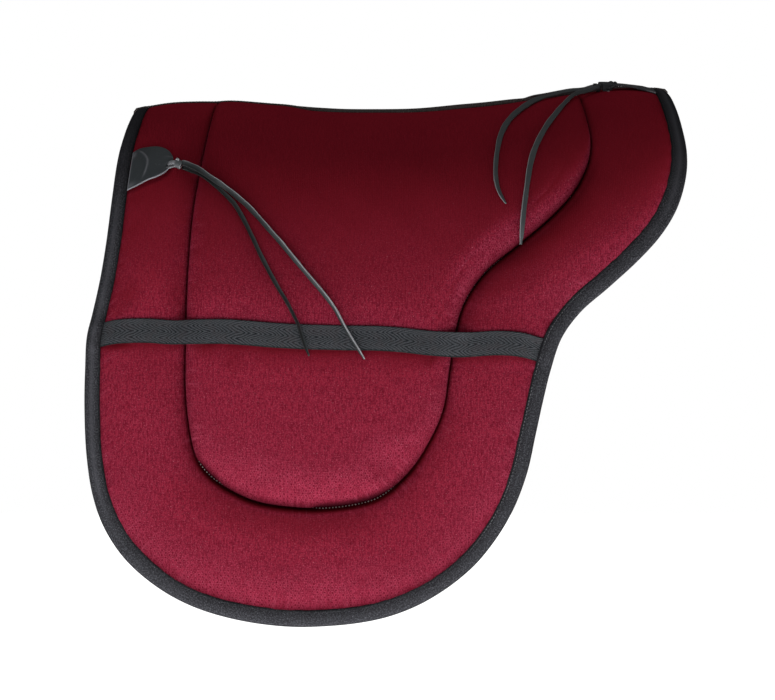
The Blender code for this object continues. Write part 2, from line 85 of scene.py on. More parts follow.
SPINE_RISE = [(-310, 1.5), (-270, 5.5), (-235, 8.5), (-180, 9.0), (-120, 4.5), (-70, 1.2),
              (-35, 0.0), (25, 0.0), (90, 5.0), (130, 9.5), (170, 15.5), (210, 22.0),
              (250, 27.0), (282, 28.5), (330, 26.0)]
STRAP_LINE = [(-300, 312.5), (-281.8, 312), (-255, 313.6), (-230, 316), (-207, 317.6), (-130, 317.4),
              (-50, 316.2), (14, 317.6), (66, 324.6), (118, 327.2), (141, 331.8), (158.6, 338.6), (172, 343.5)]
FRONT_UP = [(-272.2, 108.4), (-265.5, 106.4), (-254.6, 107.6), (-243.5, 109.8), (-236, 113.2), (-231.2, 117.5), (-228.2, 122.5)]
FRONT_LO = [(-275.3, 156.8), (-264.4, 154.6), (-253.5, 151.3), (-243, 148.5), (-235.2, 144.0), (-230.8, 138.5), (-228.6, 131.5)]
REAR_UP = [(297.5, 12.2), (289, 12.2), (279, 12.6), (269, 13.4), (259, 14.8), (251.5, 16.4), (247.5, 18)]
REAR_LO = [(297.5, 37), (288, 36.4), (279, 34.6), (269, 32), (259, 29.2), (251.5, 26.6), (247.5, 24)]
FRONT_KNOT = (-221.0, 133.6)
REAR_KNOT = (243.0, 20.0)
FRONT_LACE_A = [(-217.0, 134.6), (-212.0, 136.4), (-206.0, 140.6), (-196.6, 148.6), (-187.8, 155.8), (-179.4, 161.6),
                (-171.0, 166.8), (-162.8, 172.5), (-154.4, 179.1), (-146.2, 185.6), (-137.9, 193.4), (-129.8, 201.6),
                (-121.5, 210.5), (-111.4, 220.8), (-97.4, 236.6), (-82.0, 253.6), (-65.6, 271.6), (-53.6, 286.6),
                (-45.6, 300.4), (-36.8, 315.4), (-25.0, 333.7), (-22.4, 338.0)]
FRONT_LACE_B = [(-217.0, 137.0), (-212.0, 138.6), (-206.0, 142.2), (-196.5, 150.0), (-187.7, 158.0), (-182.6, 162.6), (-176.9, 167.6),
                (-170.8, 173.4), (-162.5, 181.5), (-158.3, 186.4), (-154.0, 192.7), (-149.8, 199.8), (-145.7, 207.0),
                (-141.5, 215.1), (-137.3, 223.1), (-133.1, 231.6), (-127.6, 241.9), (-120.8, 254.0), (-115.0, 263.9),
                (-108.9, 273.6), (-102.8, 282.8), (-97.6, 292.0), (-93.3, 300.0), (-90.3, 306.3), (-87.3, 315.3),
                (-83.8, 325.2), (-79.3, 336.3)]
REAR_LACE_A = [(236.0, 20.0), (229, 19.0), (217, 18.4), (203, 18.6), (189, 21.0), (175.5, 28.0), (160.2, 43.1), (141.5, 66.7),
               (130.2, 84.9), (122.8, 103.4), (118.4, 123.7), (116.0, 141.8), (115.9, 159.0), (118.9, 172.6),
               (125.5, 185.9)]
REAR_LACE_B = [(236.0, 23.5), (228.5, 27.0), (218.0, 33.0), (207.6, 42.0), (194.4, 62.6), (182.3, 82.1), (172.2, 98.6), (162.6, 117.1),
               (156.6, 131.3), (152.3, 146.6), (149.2, 163.1), (146.6, 179.1), (144.2, 194.3), (142.6, 208.3),
               (141.6, 220.0), (140.8, 227.5)]


# ------------------------------------------------------------ surface model
def monotone_table(points, xs):
    px = np.array([p[0] for p in points], float) * MM
    py = np.array([p[1] for p in points], float) * MM
    n = len(px)
    sec = np.diff(py) / np.diff(px)
    tan = np.zeros(n)
    tan[0], tan[-1] = sec[0], sec[-1]
    for i in range(1, n - 1):
        if sec[i - 1] * sec[i] > 0:
            w1 = 2 * (px[i + 1] - px[i]) + (px[i] - px[i - 1])
            w2 = (px[i + 1] - px[i]) + 2 * (px[i] - px[i - 1])
            tan[i] = (w1 + w2) / (w1 / sec[i - 1] + w2 / sec[i])
    x = np.clip(xs, px[0], px[-1])
    k = np.clip(np.searchsorted(px, x, side='right') - 1, 0, n - 2)
    h = px[k + 1] - px[k]
    t = (x - px[k]) / h
    return ((1 + 2 * t) * (1 - t) ** 2 * py[k] + t * (1 - t) ** 2 * h * tan[k]
            + t * t * (3 - 2 * t) * py[k + 1] + t * t * (t - 1) * h * tan[k + 1])


RISE_X = np.arange(-0.34, 0.3401, 0.001)
RISE_Z = monotone_table(SPINE_RISE, RISE_X)
_k = np.exp(-0.5 * (np.arange(-18, 19) / 7.0) ** 2)
RISE_Z = np.convolve(np.pad(RISE_Z, 18, mode='edge'), _k / _k.sum(), mode='valid')


def spine_rise(x):
    return np.interp(x, RISE_X, RISE_Z)


def lean(s):
    return LEAN_MAX * (1 - np.exp(-np.maximum(np.abs(s) - SPINE_FLAT, 0.0) / LEAN_LEN))


SEC_S = np.arange(0, 0.7001, 0.0005)
_t = lean(SEC_S)
SEC_Y = np.concatenate([[0], np.cumsum((np.cos(_t[1:]) + np.cos(_t[:-1])) * 0.00025)])
SEC_Z = -np.concatenate([[0], np.cumsum((np.sin(_t[1:]) + np.sin(_t[:-1])) * 0.00025)])


def skin(side, x, s, h):
    """Points at pattern position (x, s), height h off the inner surface."""
    x, s, h = np.broadcast_arrays(np.asarray(x, float), np.asarray(s, float), np.asarray(h, float))
    t = lean(s)
    y = np.interp(s, SEC_S, SEC_Y)
    z = np.interp(s, SEC_S, SEC_Z)
    return np.stack([x, side * (y + h * np.sin(t)), z + h * np.cos(t) + spine_rise(x) + SEAT], axis=-1)


def skin_normal(side, s):
    t = lean(np.asarray(s, float))
    return np.stack([np.zeros_like(t), side * np.sin(t), np.cos(t)], axis=-1)


def skin_down(side, s):
    t = lean(np.asarray(s, float))
    return np.stack([np.zeros_like(t), side * np.cos(t), -np.sin(t)], axis=-1)


def smoothstep(a, b, x):
    t = np.clip((np.asarray(x, float) - a) / (b - a), 0, 1)
    return t * t * (3 - 2 * t)


def wobble(x, y, scale, seed=0.0):
    """Smooth repeatable unevenness between about -1 and 1."""
    x = np.asarray(x, float) / scale
    y = np.asarray(y, float) / scale
    return (np.sin(1.7 * x + 2.3 * np.sin(0.9 * y + seed) + seed * 1.3)
            + np.sin(1.3 * y - 1.9 * np.sin(1.1 * x + 2.1 * seed) + 0.7)
            + 0.6 * np.sin(2.9 * x + 1.7 * y + 3.1 * seed)
            + 0.5 * np.sin(-2.2 * x + 3.3 * y + 1.3 + seed)) / 3.1


# ------------------------------------------------------------ pattern curves
def smooth_path(points, per=40):
    """Dense centripetal spline through control points given in mm."""
    p = np.array([(a, b) for a, b in points], float) * MM
    p = np.vstack([2 * p[0] - p[1], p, 2 * p[-1] - p[-2]])
    out = []
    for i in range(1, len(p) - 2):
        t = [0.0]
        for j in range(3):
            t.append(t[-1] + max(np.linalg.norm(p[i + j] - p[i + j - 1]), 1e-9) ** 0.5)
        u = (t[1] + (t[2] - t[1]) * np.arange(per) / per)[:, None]
        a1 = p[i - 1] * ((t[1] - u) / (t[1] - t[0])) + p[i] * ((u - t[0]) / (t[1] - t[0]))
        a2 = p[i] * ((t[2] - u) / (t[2] - t[1])) + p[i + 1] * ((u - t[1]) / (t[2] - t[1]))
        a3 = p[i + 1] * ((t[3] - u) / (t[3] - t[2])) + p[i + 2] * ((u - t[2]) / (t[3] - t[2]))
        b1 = a1 * ((t[2] - u) / (t[2] - t[0])) + a2 * ((u - t[0]) / (t[2] - t[0]))
        b2 = a2 * ((t[3] - u) / (t[3] - t[1])) + a3 * ((u - t[1]) / (t[3] - t[1]))
        out.append(b1 * ((t[2] - u) / (t[2] - t[1])) + b2 * ((u - t[1]) / (t[2] - t[1])))
    out.append(p[-2][None, :])
    return np.vstack(out)


def arc(path):
    return np.concatenate([[0], np.cumsum(np.linalg.norm(np.diff(path, axis=0), axis=1))])


def at(path, acc, d):
    return np.stack([np.interp(d, acc, path[:, c]) for c in range(path.shape[1])], axis=-1)


def level_mark(path, acc, s, from_front):
    y = path[:, 1]
    hit = np.nonzero((y[:-1] - s) * (y[1:] - s) <= 0)[0]
    hit = [k for k in hit if y[k] != y[k + 1]]
    if not hit:
        return acc[0] if from_front else acc[-1]
    k = hit[0] if from_front else hit[-1]
    return acc[k] + (acc[k + 1] - acc[k]) * (s - y[k]) / (y[k + 1] - y[k])


NF, NC = 150, 100          # stations down each side edge, and along the hem
NST = 2 * NF + NC + 1


def smooth_rows(a, n):
    k = np.ones(2 * n + 1) / (2 * n + 1)
    return np.stack([np.convolve(np.pad(a[:, c], n, mode='edge'), k, mode='valid')
                     for c in range(a.shape[1])], axis=-1)


def stations(points, corner_front, corner_rear):
    path = smooth_path(points)
    acc = arc(path)
    f = np.arange(NF + 1) / NF
    first = np.array([level_mark(path, acc, corner_front * v, True) for v in f])
    last = np.array([level_mark(path, acc, corner_rear * v, False) for v in f])
    a, b = first[-1], last[-1]
    marks = np.concatenate([first, a + (b - a) * np.arange(1, NC) / NC, last[::-1]])
    # even out the change of spacing at the two lower corners
    for _ in range(60):
        m = marks.copy()
        lo, hi = NF - 30, NF + 30
        m[lo:hi] = (marks[lo - 1:hi - 1] + marks[lo + 1:hi + 1]) / 2
        lo, hi = NF + NC - 30, NF + NC + 30
        m[lo:hi] = (marks[lo - 1:hi - 1] + marks[lo + 1:hi + 1]) / 2
        marks = m
    p = at(path, acc, marks)
    t = at(path, acc, marks + 0.006) - at(path, acc, marks - 0.006)
    n = np.stack([t[:, 1], -t[:, 0]], axis=-1)
    n /= np.linalg.norm(n, axis=1, keepdims=True)
    n = smooth_rows(n, 2)
    i = np.arange(NST)
    flat = np.zeros_like(n)
    flat[:, 0] = np.where(i < NST / 2, 1.0, -1.0)
    w = smoothstep(0, 9, np.minimum(i, NST - 1 - i))[:, None]
    n = n * w + flat * (1 - w)
    n /= np.linalg.norm(n, axis=1, keepdims=True)
    return p, n


EDGE_P, EDGE_N = stations(OUTLINE, 0.505, 0.500)
RING_P, RING_N = stations(CHANNEL, 0.440, 0.430)


def edge_line(d):
    return EDGE_P + EDGE_N * d


def ring_line(d):
    return RING_P + RING_N * d


def coons(line):
    left = line[:NF + 1]
    bottom = line[NF:NF + NC + 1]
    right = line[NF + NC:][::-1]
    u = (np.arange(NC + 1) / NC)[None, :, None]
    v = (np.arange(NF + 1) / NF)[:, None, None]
    top = left[0][None, :] * (1 - u[0]) + right[0][None, :] * u[0]
    top = top[None, :, :]
    return (left[:, None, :] * (1 - u) + right[:, None, :] * u + top * (1 - v)
            + bottom[None, :, :] * v
            - (top[:, :1] * (1 - u) * (1 - v) + top[:, -1:] * u * (1 - v)
               + bottom[None, :1] * (1 - u) * v + bottom[None, -1:] * u * v))


# --------------------------------------------------------------- mesh helper
def mesh_object(name, verts, faces, uv=None, attrs=None, smooth=True, mat=None):
    me = bpy.data.meshes.new(name)
    verts = np.asarray(verts, np.float32)
    sizes = np.array([len(f) for f in faces], np.int32) if not isinstance(faces, np.ndarray) \
        else np.full(len(faces), faces.shape[1], np.int32)
    loops = np.concatenate([np.asarray(f, np.int32).ravel() for f in faces]) \
        if not isinstance(faces, np.ndarray) else faces.astype(np.int32).ravel()
    me.vertices.add(len(verts))
    me.vertices.foreach_set("co", verts.ravel())
    me.loops.add(len(loops))
    me.loops.foreach_set("vertex_index", loops)
    me.polygons.add(len(sizes))
    me.polygons.foreach_set("loop_start", np.concatenate([[0], np.cumsum(sizes)[:-1]]).astype(np.int32))
    me.update(calc_edges=True)
    if uv is not None:
        layer = me.uv_layers.new(name="Pattern")
        layer.data.foreach_set("uv", np.asarray(uv, np.float32)[loops].ravel())
    for key, val in (attrs or {}).items():
        a = me.attributes.new(key, 'FLOAT', 'POINT')
        a.data.foreach_set("value", np.asarray(val, np.float32))
    me.validate()
    if smooth:
        me.shade_smooth()
    ob = bpy.data.objects.new(name, me)
    bpy.context.scene.collection.objects.link(ob)
    if mat is not None:
        me.materials.append(mat)
    return ob


def grid_faces(rows, cols, base=0, wrap=False):
    i = np.arange(rows - 1)[:, None]
    j = np.arange(cols if wrap else cols - 1)[None, :]
    a = base + i * cols + j
    b = base + i * cols + (j + 1) % cols
    return np.stack([a, b, b + cols, a + cols], axis=-1).reshape(-1, 4)


def loft(name, rings, mat, uv=None, attrs=None, smooth=True, caps=True, flip=False):
    """Closed tube through rings[n, m, 3], with flat caps as fans of quads and triangles."""
    rings = np.asarray(rings, float)
    n, m, _ = rings.shape
    verts = rings.reshape(-1, 3)
    faces = [list(f) for f in grid_faces(n, m, wrap=True)]
    if caps:
        faces.append(list(range(m))[::-1])
        faces.append(list(range((n - 1) * m, n * m)))
    if flip:
        faces = [f[::-1] for f in faces]
    uvs = None
    if uv is not None:
        uvs = np.asarray(uv, float).reshape(-1, 2)
    return mesh_object(name, verts, faces, uv=uvs, attrs=attrs, smooth=smooth, mat=mat)


def tree_of(*objs):
    out = []
    for o in objs:
        me = o.data
        co = np.zeros(len(me.vertices) * 3, np.float32)
        me.vertices.foreach_get("co", co)
        co = co.reshape(-1, 3)
        out.append(BVHTree.FromPolygons([Vector(c) for c in co.tolist()],
                                        [tuple(p.vertices) for p in me.polygons]))
    return out


def surface_h(trees, side, x, s, top=0.06):
    """Height of the highest of these surfaces above the inner surface."""
    start = skin(side, x, s, top)
    n = skin_normal(side, s)
    best = 0.0
    for tree in trees:
        hit = tree.ray_cast(Vector(start), -Vector(n))
        if hit[0] is not None:
            best = max(best, top - hit[3])
    return best


# ---------------------------------------------------------------- materials
class Nodes:
    """Small helper to wire shader nodes."""

    def __init__(self, name):
        self.mat = bpy.data.materials.new(name)
        self.mat.use_nodes = True
        self.t = self.mat.node_tree
        self.t.nodes.clear()
        self.out = self.t.nodes.new("ShaderNodeOutputMaterial")
        self.bsdf = self.t.nodes.new("ShaderNodeBsdfPrincipled")
        self.t.links.new(self.bsdf.outputs[0], self.out.inputs[0])

    def link(self, a, b):
        self.t.links.new(a, b)

    def put(self, socket, value):
        if isinstance(value, bpy.types.NodeSocket):
            self.link(value, socket)
        elif value is not None:
            socket.default_value = value

    def math(self, op, a, b=None, c=None, clamp=False):
        n = self.t.nodes.new("ShaderNodeMath")
        n.operation = op
        n.use_clamp = clamp
        self.put(n.inputs[0], a)
        if b is not None:
            self.put(n.inputs[1], b)
        if c is not None:
            self.put(n.inputs[2], c)
        return n.outputs[0]

    def step(self, lo, hi, x, a=0.0, b=1.0):
        n = self.t.nodes.new("ShaderNodeMapRange")
        n.interpolation_type = 'SMOOTHSTEP'
        self.put(n.inputs["Value"], x)
        n.inputs["From Min"].default_value = lo
        n.inputs["From Max"].default_value = hi
        n.inputs["To Min"].default_value = a
        n.inputs["To Max"].default_value = b
        return n.outputs[0]

    def uv(self):
        n = self.t.nodes.new("ShaderNodeUVMap")
        n.uv_map = "Pattern"
        s = self.t.nodes.new("ShaderNodeSeparateXYZ")
        self.link(n.outputs[0], s.inputs[0])
        return n.outputs[0], s.outputs[0], s.outputs[1]

    def obj(self):
        n = self.t.nodes.new("ShaderNodeTexCoord")
        return n.outputs["Object"]

    def noise(self, vec, scale, detail=2.0, rough=0.5, dist=0.0):
        n = self.t.nodes.new("ShaderNodeTexNoise")
        self.put(n.inputs["Vector"], vec)
        n.inputs["Scale"].default_value = scale
        n.inputs["Detail"].default_value = detail
        n.inputs["Roughness"].default_value = rough
        n.inputs["Distortion"].default_value = dist
        return n.outputs[0]

    def voronoi(self, vec, scale, feature='F1', out="Distance"):
        n = self.t.nodes.new("ShaderNodeTexVoronoi")
        n.feature = feature
        self.put(n.inputs["Vector"], vec)
        n.inputs["Scale"].default_value = scale
        return n.outputs[out]

    def mix(self, fac, a, b, mode='MIX'):
        n = self.t.nodes.new("ShaderNodeMix")
        n.data_type = 'RGBA'
        n.blend_type = mode
        self.put(n.inputs[0], fac)
        self.put(n.inputs[6], a if isinstance(a, bpy.types.NodeSocket) else (*a, 1.0))
        self.put(n.inputs[7], b if isinstance(b, bpy.types.NodeSocket) else (*b, 1.0))
        return n.outputs[2]

    def attr(self, name):
        n = self.t.nodes.new("ShaderNodeAttribute")
        n.attribute_name = name
        return n.outputs["Fac"]

    def bump(self, height, strength, distance, normal=None):
        n = self.t.nodes.new("ShaderNodeBump")
        n.inputs["Strength"].default_value = strength
        n.inputs["Distance"].default_value = distance
        self.put(n.inputs["Height"], height)
        if normal is not None:
            self.link(normal, n.inputs["Normal"])
        return n.outputs[0]

    def finish(self, colour, rough, normal=None, sheen=0.0, sheen_tint=(1, 1, 1), spec=0.5, coat=0.0):
        self.put(self.bsdf.inputs["Base Color"], colour)
        self.put(self.bsdf.inputs["Roughness"], rough)
        if normal is not None:
            self.link(normal, self.bsdf.inputs["Normal"])
        self.bsdf.inputs["Sheen Weight"].default_value = sheen
        self.bsdf.inputs["Sheen Roughness"].default_value = 0.45
        self.bsdf.inputs["Sheen Tint"].default_value = (*sheen_tint, 1.0)
        self.bsdf.inputs["Specular IOR Level"].default_value = spec
        self.bsdf.inputs["Coat Weight"].default_value = coat
        return self.mat


def mesh_cloth():
    """Burgundy knitted air mesh: staggered pin holes in columns, between upright ribs."""
    m = Nodes("burgundy_air_mesh")
    uv, u, v = m.uv()
    # painted light by facing: 0 where the cloth faces up, 1 where it faces sideways or down towards the low light
    attr_amount = m.attr("lit_facing")
    # painted shade: darkens the cloth in the channel and beside the binding, thongs and patch
    painted_shade = m.attr("painted_shade")
    warp = m.math('MULTIPLY', m.math('SUBTRACT', m.noise(uv, 38.0, 2.0), 0.5), 0.0034)
    warp2 = m.math('MULTIPLY', m.math('SUBTRACT', m.noise(uv, 260.0, 1.0), 0.5), 0.0016)
    uu = m.math('ADD', u, warp2)
    vv = m.math('ADD', m.math('ADD', v, warp), warp2)
    a = m.math('ADD', m.math('DIVIDE', uu, 0.0038), 400.0)
    odd = m.math('MODULO', m.math('FLOOR', a), 2.0)
    b = m.math('ADD', m.math('DIVIDE', vv, 0.0050), m.math('ADD', m.math('MULTIPLY', odd, 0.5), 400.0))
    dx = m.math('MULTIPLY', m.math('SUBTRACT', m.math('FRACT', a), 0.5), 3.8)
    dy = m.math('MULTIPLY', m.math('SUBTRACT', m.math('FRACT', b), 0.5), 5.0)
    r = m.math('SQRT', m.math('ADD', m.math('MULTIPLY', dx, dx),
                              m.math('MULTIPLY', m.math('MULTIPLY', dy, dy), 0.72)))
    # the holes and their pale rings show mostly where the cloth faces the light: painted light
    patchy = m.step(0.34, 0.60, m.noise(uv, 60.0, 3.0, 0.65), 0.30, 1.0)
    lit_full = m.step(0.80, 1.0, attr_amount)
    lit_facing_pow = m.math('POWER', attr_amount, 1.35)
    open_ = m.math('MULTIPLY', patchy, m.math('ADD', m.math('MULTIPLY', lit_facing_pow, 0.20), m.math('MULTIPLY', lit_full, 0.68)))
    hole = m.math('MULTIPLY', m.step(0.30, 1.10, r, 1.0, 0.0), open_)
    ring = m.math('MULTIPLY', m.math('MULTIPLY', m.step(0.85, 1.35, r), m.step(1.45, 2.10, r, 1.0, 0.0)), open_)
    rib = m.math('SINE', m.math('MULTIPLY', uu, 2 * pi / 0.0019))
    loops = m.math('SINE', m.math('MULTIPLY', vv, 2 * pi / 0.0016))
    knit = m.math('MULTIPLY', m.math('ADD', rib, m.math('MULTIPLY', loops, 0.6)), 0.5)
    fuzz = m.noise(uv, 780.0, 3.0, 0.72)
    grain = m.noise(uv, 430.0, 3.0, 0.65)
    blotch = m.noise(uv, 14.0, 4.0, 0.55)
    fleck = m.noise(uv, 560.0, 2.0, 0.6)
    mp = m.t.nodes.new("ShaderNodeMapping")
    mp.inputs["Scale"].default_value = (1.0, 0.20, 1.0)
    m.link(uv, mp.inputs["Vector"])
    wale = m.noise(mp.outputs[0], 520.0, 2.0, 0.6)
    # the knit, wale and grain texture shows more where the cloth faces the light: painted light
    lit_texture = m.step(0.0, 0.75, attr_amount, 0.16, 1.0)
    pl = m.t.nodes.new("ShaderNodeCombineXYZ")
    m.link(m.attr("run"), pl.inputs[0])
    m.link(m.math('MULTIPLY', m.math('ADD', u, v), 0.10), pl.inputs[1])
    pleat = m.noise(pl.outputs[0], 300.0, 2.0, 0.6)
    # painted light and shade: paler and less saturated where the cloth faces the light, deeper red where it faces up
    base = m.mix(attr_amount, (0.330, 0.0150, 0.0290), (0.345, 0.0262, 0.0610))
    # painted light and shade by tilt, at a few places and along the rear hem
    base = m.mix(1.0, base, m.attr("painted_light_gain"), 'MULTIPLY')
    base = m.mix(m.math('MULTIPLY', m.step(0.35, 0.70, blotch), 0.16), base, (0.190, 0.0080, 0.0200))
    base = m.mix(m.math('MULTIPLY', m.step(-0.8, 0.9, knit, 1.0, 0.0), m.math('MULTIPLY', lit_texture, 0.26)),
                 base, (0.140, 0.0050, 0.0150))
    base = m.mix(m.math('MULTIPLY', m.step(0.40, 0.56, wale, 1.0, 0.0), m.math('MULTIPLY', lit_texture, 0.54)),
                 base, (0.150, 0.0050, 0.0160))
    base = m.mix(m.math('MULTIPLY', m.step(0.36, 0.54, grain, 1.0, 0.0), m.math('MULTIPLY', lit_texture, 0.62)),
                 base, (0.125, 0.0045, 0.0140))
    # pale flecks show where the cloth faces the light and not where shade is painted
    lit = m.math('MULTIPLY', lit_texture, m.step(0.05, 0.65, painted_shade, 1.0, 0.0))
    base = m.mix(m.math('MULTIPLY', m.step(0.52, 0.68, fuzz), m.math('MULTIPLY', lit, 0.68)),
                 base, (0.520, 0.0820, 0.1500))
    # painted light and shade of small pleats: dark and pale streaks across the seams
    pleat_shading = m.math('MULTIPLY', m.attr("near"), m.step(0.35, 0.65, m.noise(uv, 34.0, 2.0, 0.5)))
    base = m.mix(m.math('MULTIPLY', m.step(0.36, 0.50, pleat, 1.0, 0.0), m.math('MULTIPLY', pleat_shading, 0.46)),
                 base, (0.130, 0.0045, 0.0140))
    base = m.mix(m.math('MULTIPLY', m.step(0.54, 0.68, pleat), m.math('MULTIPLY', pleat_shading, 0.56)),
                 base, (0.480, 0.0700, 0.1300))
    base = m.mix(m.math('MULTIPLY', ring, 0.30), base, (0.520, 0.0850, 0.1500))
    base = m.mix(m.math('MULTIPLY', m.step(0.66, 0.76, fleck), m.math('MULTIPLY', lit, 0.60)),
                 base, (0.700, 0.2400, 0.3200))
    base = m.mix(m.math('MULTIPLY', hole, 0.82), base, (0.130, 0.0034, 0.0140))
    # painted shade: the cloth darkened towards near black
    base = m.mix(m.math('MULTIPLY', painted_shade, 0.94), base, (0.018, 0.0016, 0.0034))
    height = m.math('ADD', m.math('MULTIPLY', hole, -1.0),
                    m.math('ADD', m.math('MULTIPLY', knit, 0.35), m.math('MULTIPLY', fuzz, 0.8)))
    n = m.bump(height, 0.50, 0.0007)
    return m.finish(base, 1.0, n, spec=0.0)


def tape_cloth(name, dark, light, pitch=0.0016, speck=0.75):
    """Woven polyester tape: fine twill with pale flecks."""
    m = Nodes(name)
    uv, u, v = m.uv()
    attr_amount = m.attr("speckle")
    w = m.math('MULTIPLY', m.math('SUBTRACT', m.noise(uv, 300.0, 2.0), 0.5), 0.0012)
    tw = m.math('SINE', m.math('MULTIPLY', m.math('ADD', m.math('ADD', u, v), w), 2 * pi / pitch))
    ww = m.math('SINE', m.math('MULTIPLY', m.math('SUBTRACT', m.math('SUBTRACT', u, v), w), 2 * pi / (pitch * 1.2)))
    weave = m.math('MULTIPLY', m.math('ADD', tw, ww), 0.5)
    fleck = m.noise(uv, 600.0, 3.0, 0.75)
    spark = m.noise(uv, 760.0, 2.0, 0.6)
    wear = m.noise(uv, 30.0, 4.0, 0.6)
    pits = m.noise(uv, 520.0, 2.0, 0.6)
    amount = m.math('MULTIPLY', attr_amount, speck)
    base = m.mix(m.step(-0.8, 1.0, weave), dark, light)
    base = m.mix(m.math('MULTIPLY', m.step(0.38, 0.52, pits, 1.0, 0.0), m.math('MULTIPLY', amount, 0.7)),
                 base, tuple(c * 0.55 for c in dark))
    base = m.mix(m.math('MULTIPLY', m.step(0.48, 0.64, fleck), amount), base, tuple(min(1, c * 2.4) for c in light))
    base = m.mix(m.math('MULTIPLY', m.step(0.60, 0.72, spark), amount), base, tuple(min(1, c * 4.6) for c in light))
    base = m.mix(m.math('MULTIPLY', m.step(0.45, 0.8, wear), 0.25), base, tuple(c * 1.5 for c in light))
    # tone below 0.5 darkens and above 0.5 lightens; on the binding it carries painted light and shade
    tone = m.attr("tone")
    base = m.mix(m.step(0.0, 0.5, tone, 0.80, 0.0), base, tuple(c * 0.30 for c in dark))
    base = m.mix(m.step(0.5, 1.0, tone, 0.0, 0.80), base, tuple(min(1, c * 2.6) for c in light))
    height = m.math('ADD', weave, m.math('MULTIPLY', fleck, 1.4))
    n = m.bump(height, 0.5, 0.0005)
    return m.finish(base, 1.0, n, spec=0.0)


def web_cloth():
    """Herringbone webbing; the ribs are in the mesh, the yarns are here."""
    m = Nodes("herringbone_webbing")
    uv, u, v = m.uv()
    rib = m.attr("rib")
    painted_shading = m.attr("painted_shading")
    yarn = m.math('SINE', m.math('MULTIPLY', u, 2 * pi / 0.0008))
    fleck = m.noise(uv, 700.0, 3.0, 0.7)
    spark = m.noise(uv, 1100.0, 1.0, 0.5)
    wear = m.noise(uv, 26.0, 4.0, 0.6)
    hue = m.noise(uv, 90.0, 2.0, 0.5)
    base = m.mix(m.step(0.05, 0.85, rib), (0.016, 0.0185, 0.0210), (0.112, 0.117, 0.130))
    base = m.mix(m.math('MULTIPLY', m.step(0.45, 0.60, fleck, 1.0, 0.0), 0.40), base, (0.022, 0.026, 0.028))
    base = m.mix(m.math('MULTIPLY', m.step(0.62, 0.74, spark), 0.45), base, (0.230, 0.235, 0.240))
    base = m.mix(m.math('MULTIPLY', m.step(0.48, 0.62, hue), 0.25), base, (0.085, 0.070, 0.075))
    base = m.mix(m.math('MULTIPLY', m.step(0.5, 0.85, wear), 0.3), base, (0.050, 0.052, 0.052))
    # painted shade towards the strap's ends
    base = m.mix(m.math('MULTIPLY', painted_shading, 0.45), base, (0.014, 0.016, 0.017))
    height = m.math('ADD', m.math('MULTIPLY', yarn, 0.35), m.math('MULTIPLY', fleck, 1.0))
    n = m.bump(height, 0.4, 0.0004)
    return m.finish(base, 1.0, n, spec=0.0)


def leather(name, dark, light, edge_col, gloss=(0.38, 0.60), spec=0.45):
    m = Nodes(name)
    co = m.obj()
    grain = m.voronoi(co, 1100.0)
    fine = m.noise(co, 2600.0, 3.0, 0.6)
    tone = m.noise(co, 70.0, 4.0, 0.6, 0.4)
    streak = m.noise(co, 320.0, 4.0, 0.7, 0.8)
    edge = m.attr("edge")
    painted_dark_shade = m.attr("painted_dark_shade")
    base = m.mix(tone, dark, light)
    base = m.mix(m.math('MULTIPLY', m.step(0.60, 0.74, streak), 0.16), base, edge_col)
    # edge: pale raw cut edges, with painted highlights on the patches' fold, gathers and corners, along the thongs and
    # over the knots
    base = m.mix(m.math('MULTIPLY', edge, m.step(0.30, 0.62, fine, 0.60, 1.0)), base, edge_col)
    # painted shade: darkened towards black in the slit, near the spine, on the lower side of the thongs and on the rear
    # knot
    base = m.mix(painted_dark_shade, base, (0.002, 0.002, 0.002))
    height = m.math('ADD', m.math('MULTIPLY', grain, 0.6),
                    m.math('ADD', m.math('MULTIPLY', fine, 0.3), m.math('MULTIPLY', streak, 0.5)))
    n = m.bump(height, 0.25, 0.0003)
    return m.finish(base, m.step(0.3, 0.7, tone, gloss[0], gloss[1]), n, spec=spec)


def foam_mat(name, dark, light, scale):
    m = Nodes(name)
    co = m.obj()
    cells = m.voronoi(co, scale)
    tone = m.noise(co, 40.0, 3.0)
    base = m.mix(m.step(0.1, 0.6, cells), dark, light)
    base = m.mix(m.math('MULTIPLY', tone, 0.4), base, tuple(c * 0.8 for c in light))
    n = m.bump(cells, 0.5, 0.0005)
    return m.finish(base, 0.95, n, spec=0.0)


def lining_mat():
    """Charcoal neoprene with a fine pressed pattern of small diamonds."""
    m = Nodes("neoprene_lining")
    uv, u, v = m.uv()
    a = m.math('SINE', m.math('MULTIPLY', m.math('ADD', u, v), 2 * pi / 0.0046))
    b = m.math('SINE', m.math('MULTIPLY', m.math('SUBTRACT', u, v), 2 * pi / 0.0046))
    dia = m.math('MULTIPLY', a, b)
    cell = m.step(-0.15, 0.35, dia)
    fine = m.noise(uv, 2200.0, 2.0, 0.6)
    tone = m.noise(uv, 12.0, 4.0, 0.6)
    base = m.mix(cell, (0.012, 0.0125, 0.0135), (0.030, 0.031, 0.034))
    base = m.mix(m.math('MULTIPLY', m.step(0.4, 0.8, tone), 0.4), base, (0.042, 0.042, 0.044))
    base = m.mix(m.math('MULTIPLY', m.step(0.55, 0.8, fine), 0.3), base, (0.075, 0.075, 0.080))
    height = m.math('ADD', cell, m.math('MULTIPLY', fine, 0.25))
    n = m.bump(height, 0.6, 0.0006)
    return m.finish(base, m.step(0.2, 0.8, fine, 0.80, 0.95), n, spec=0.12)


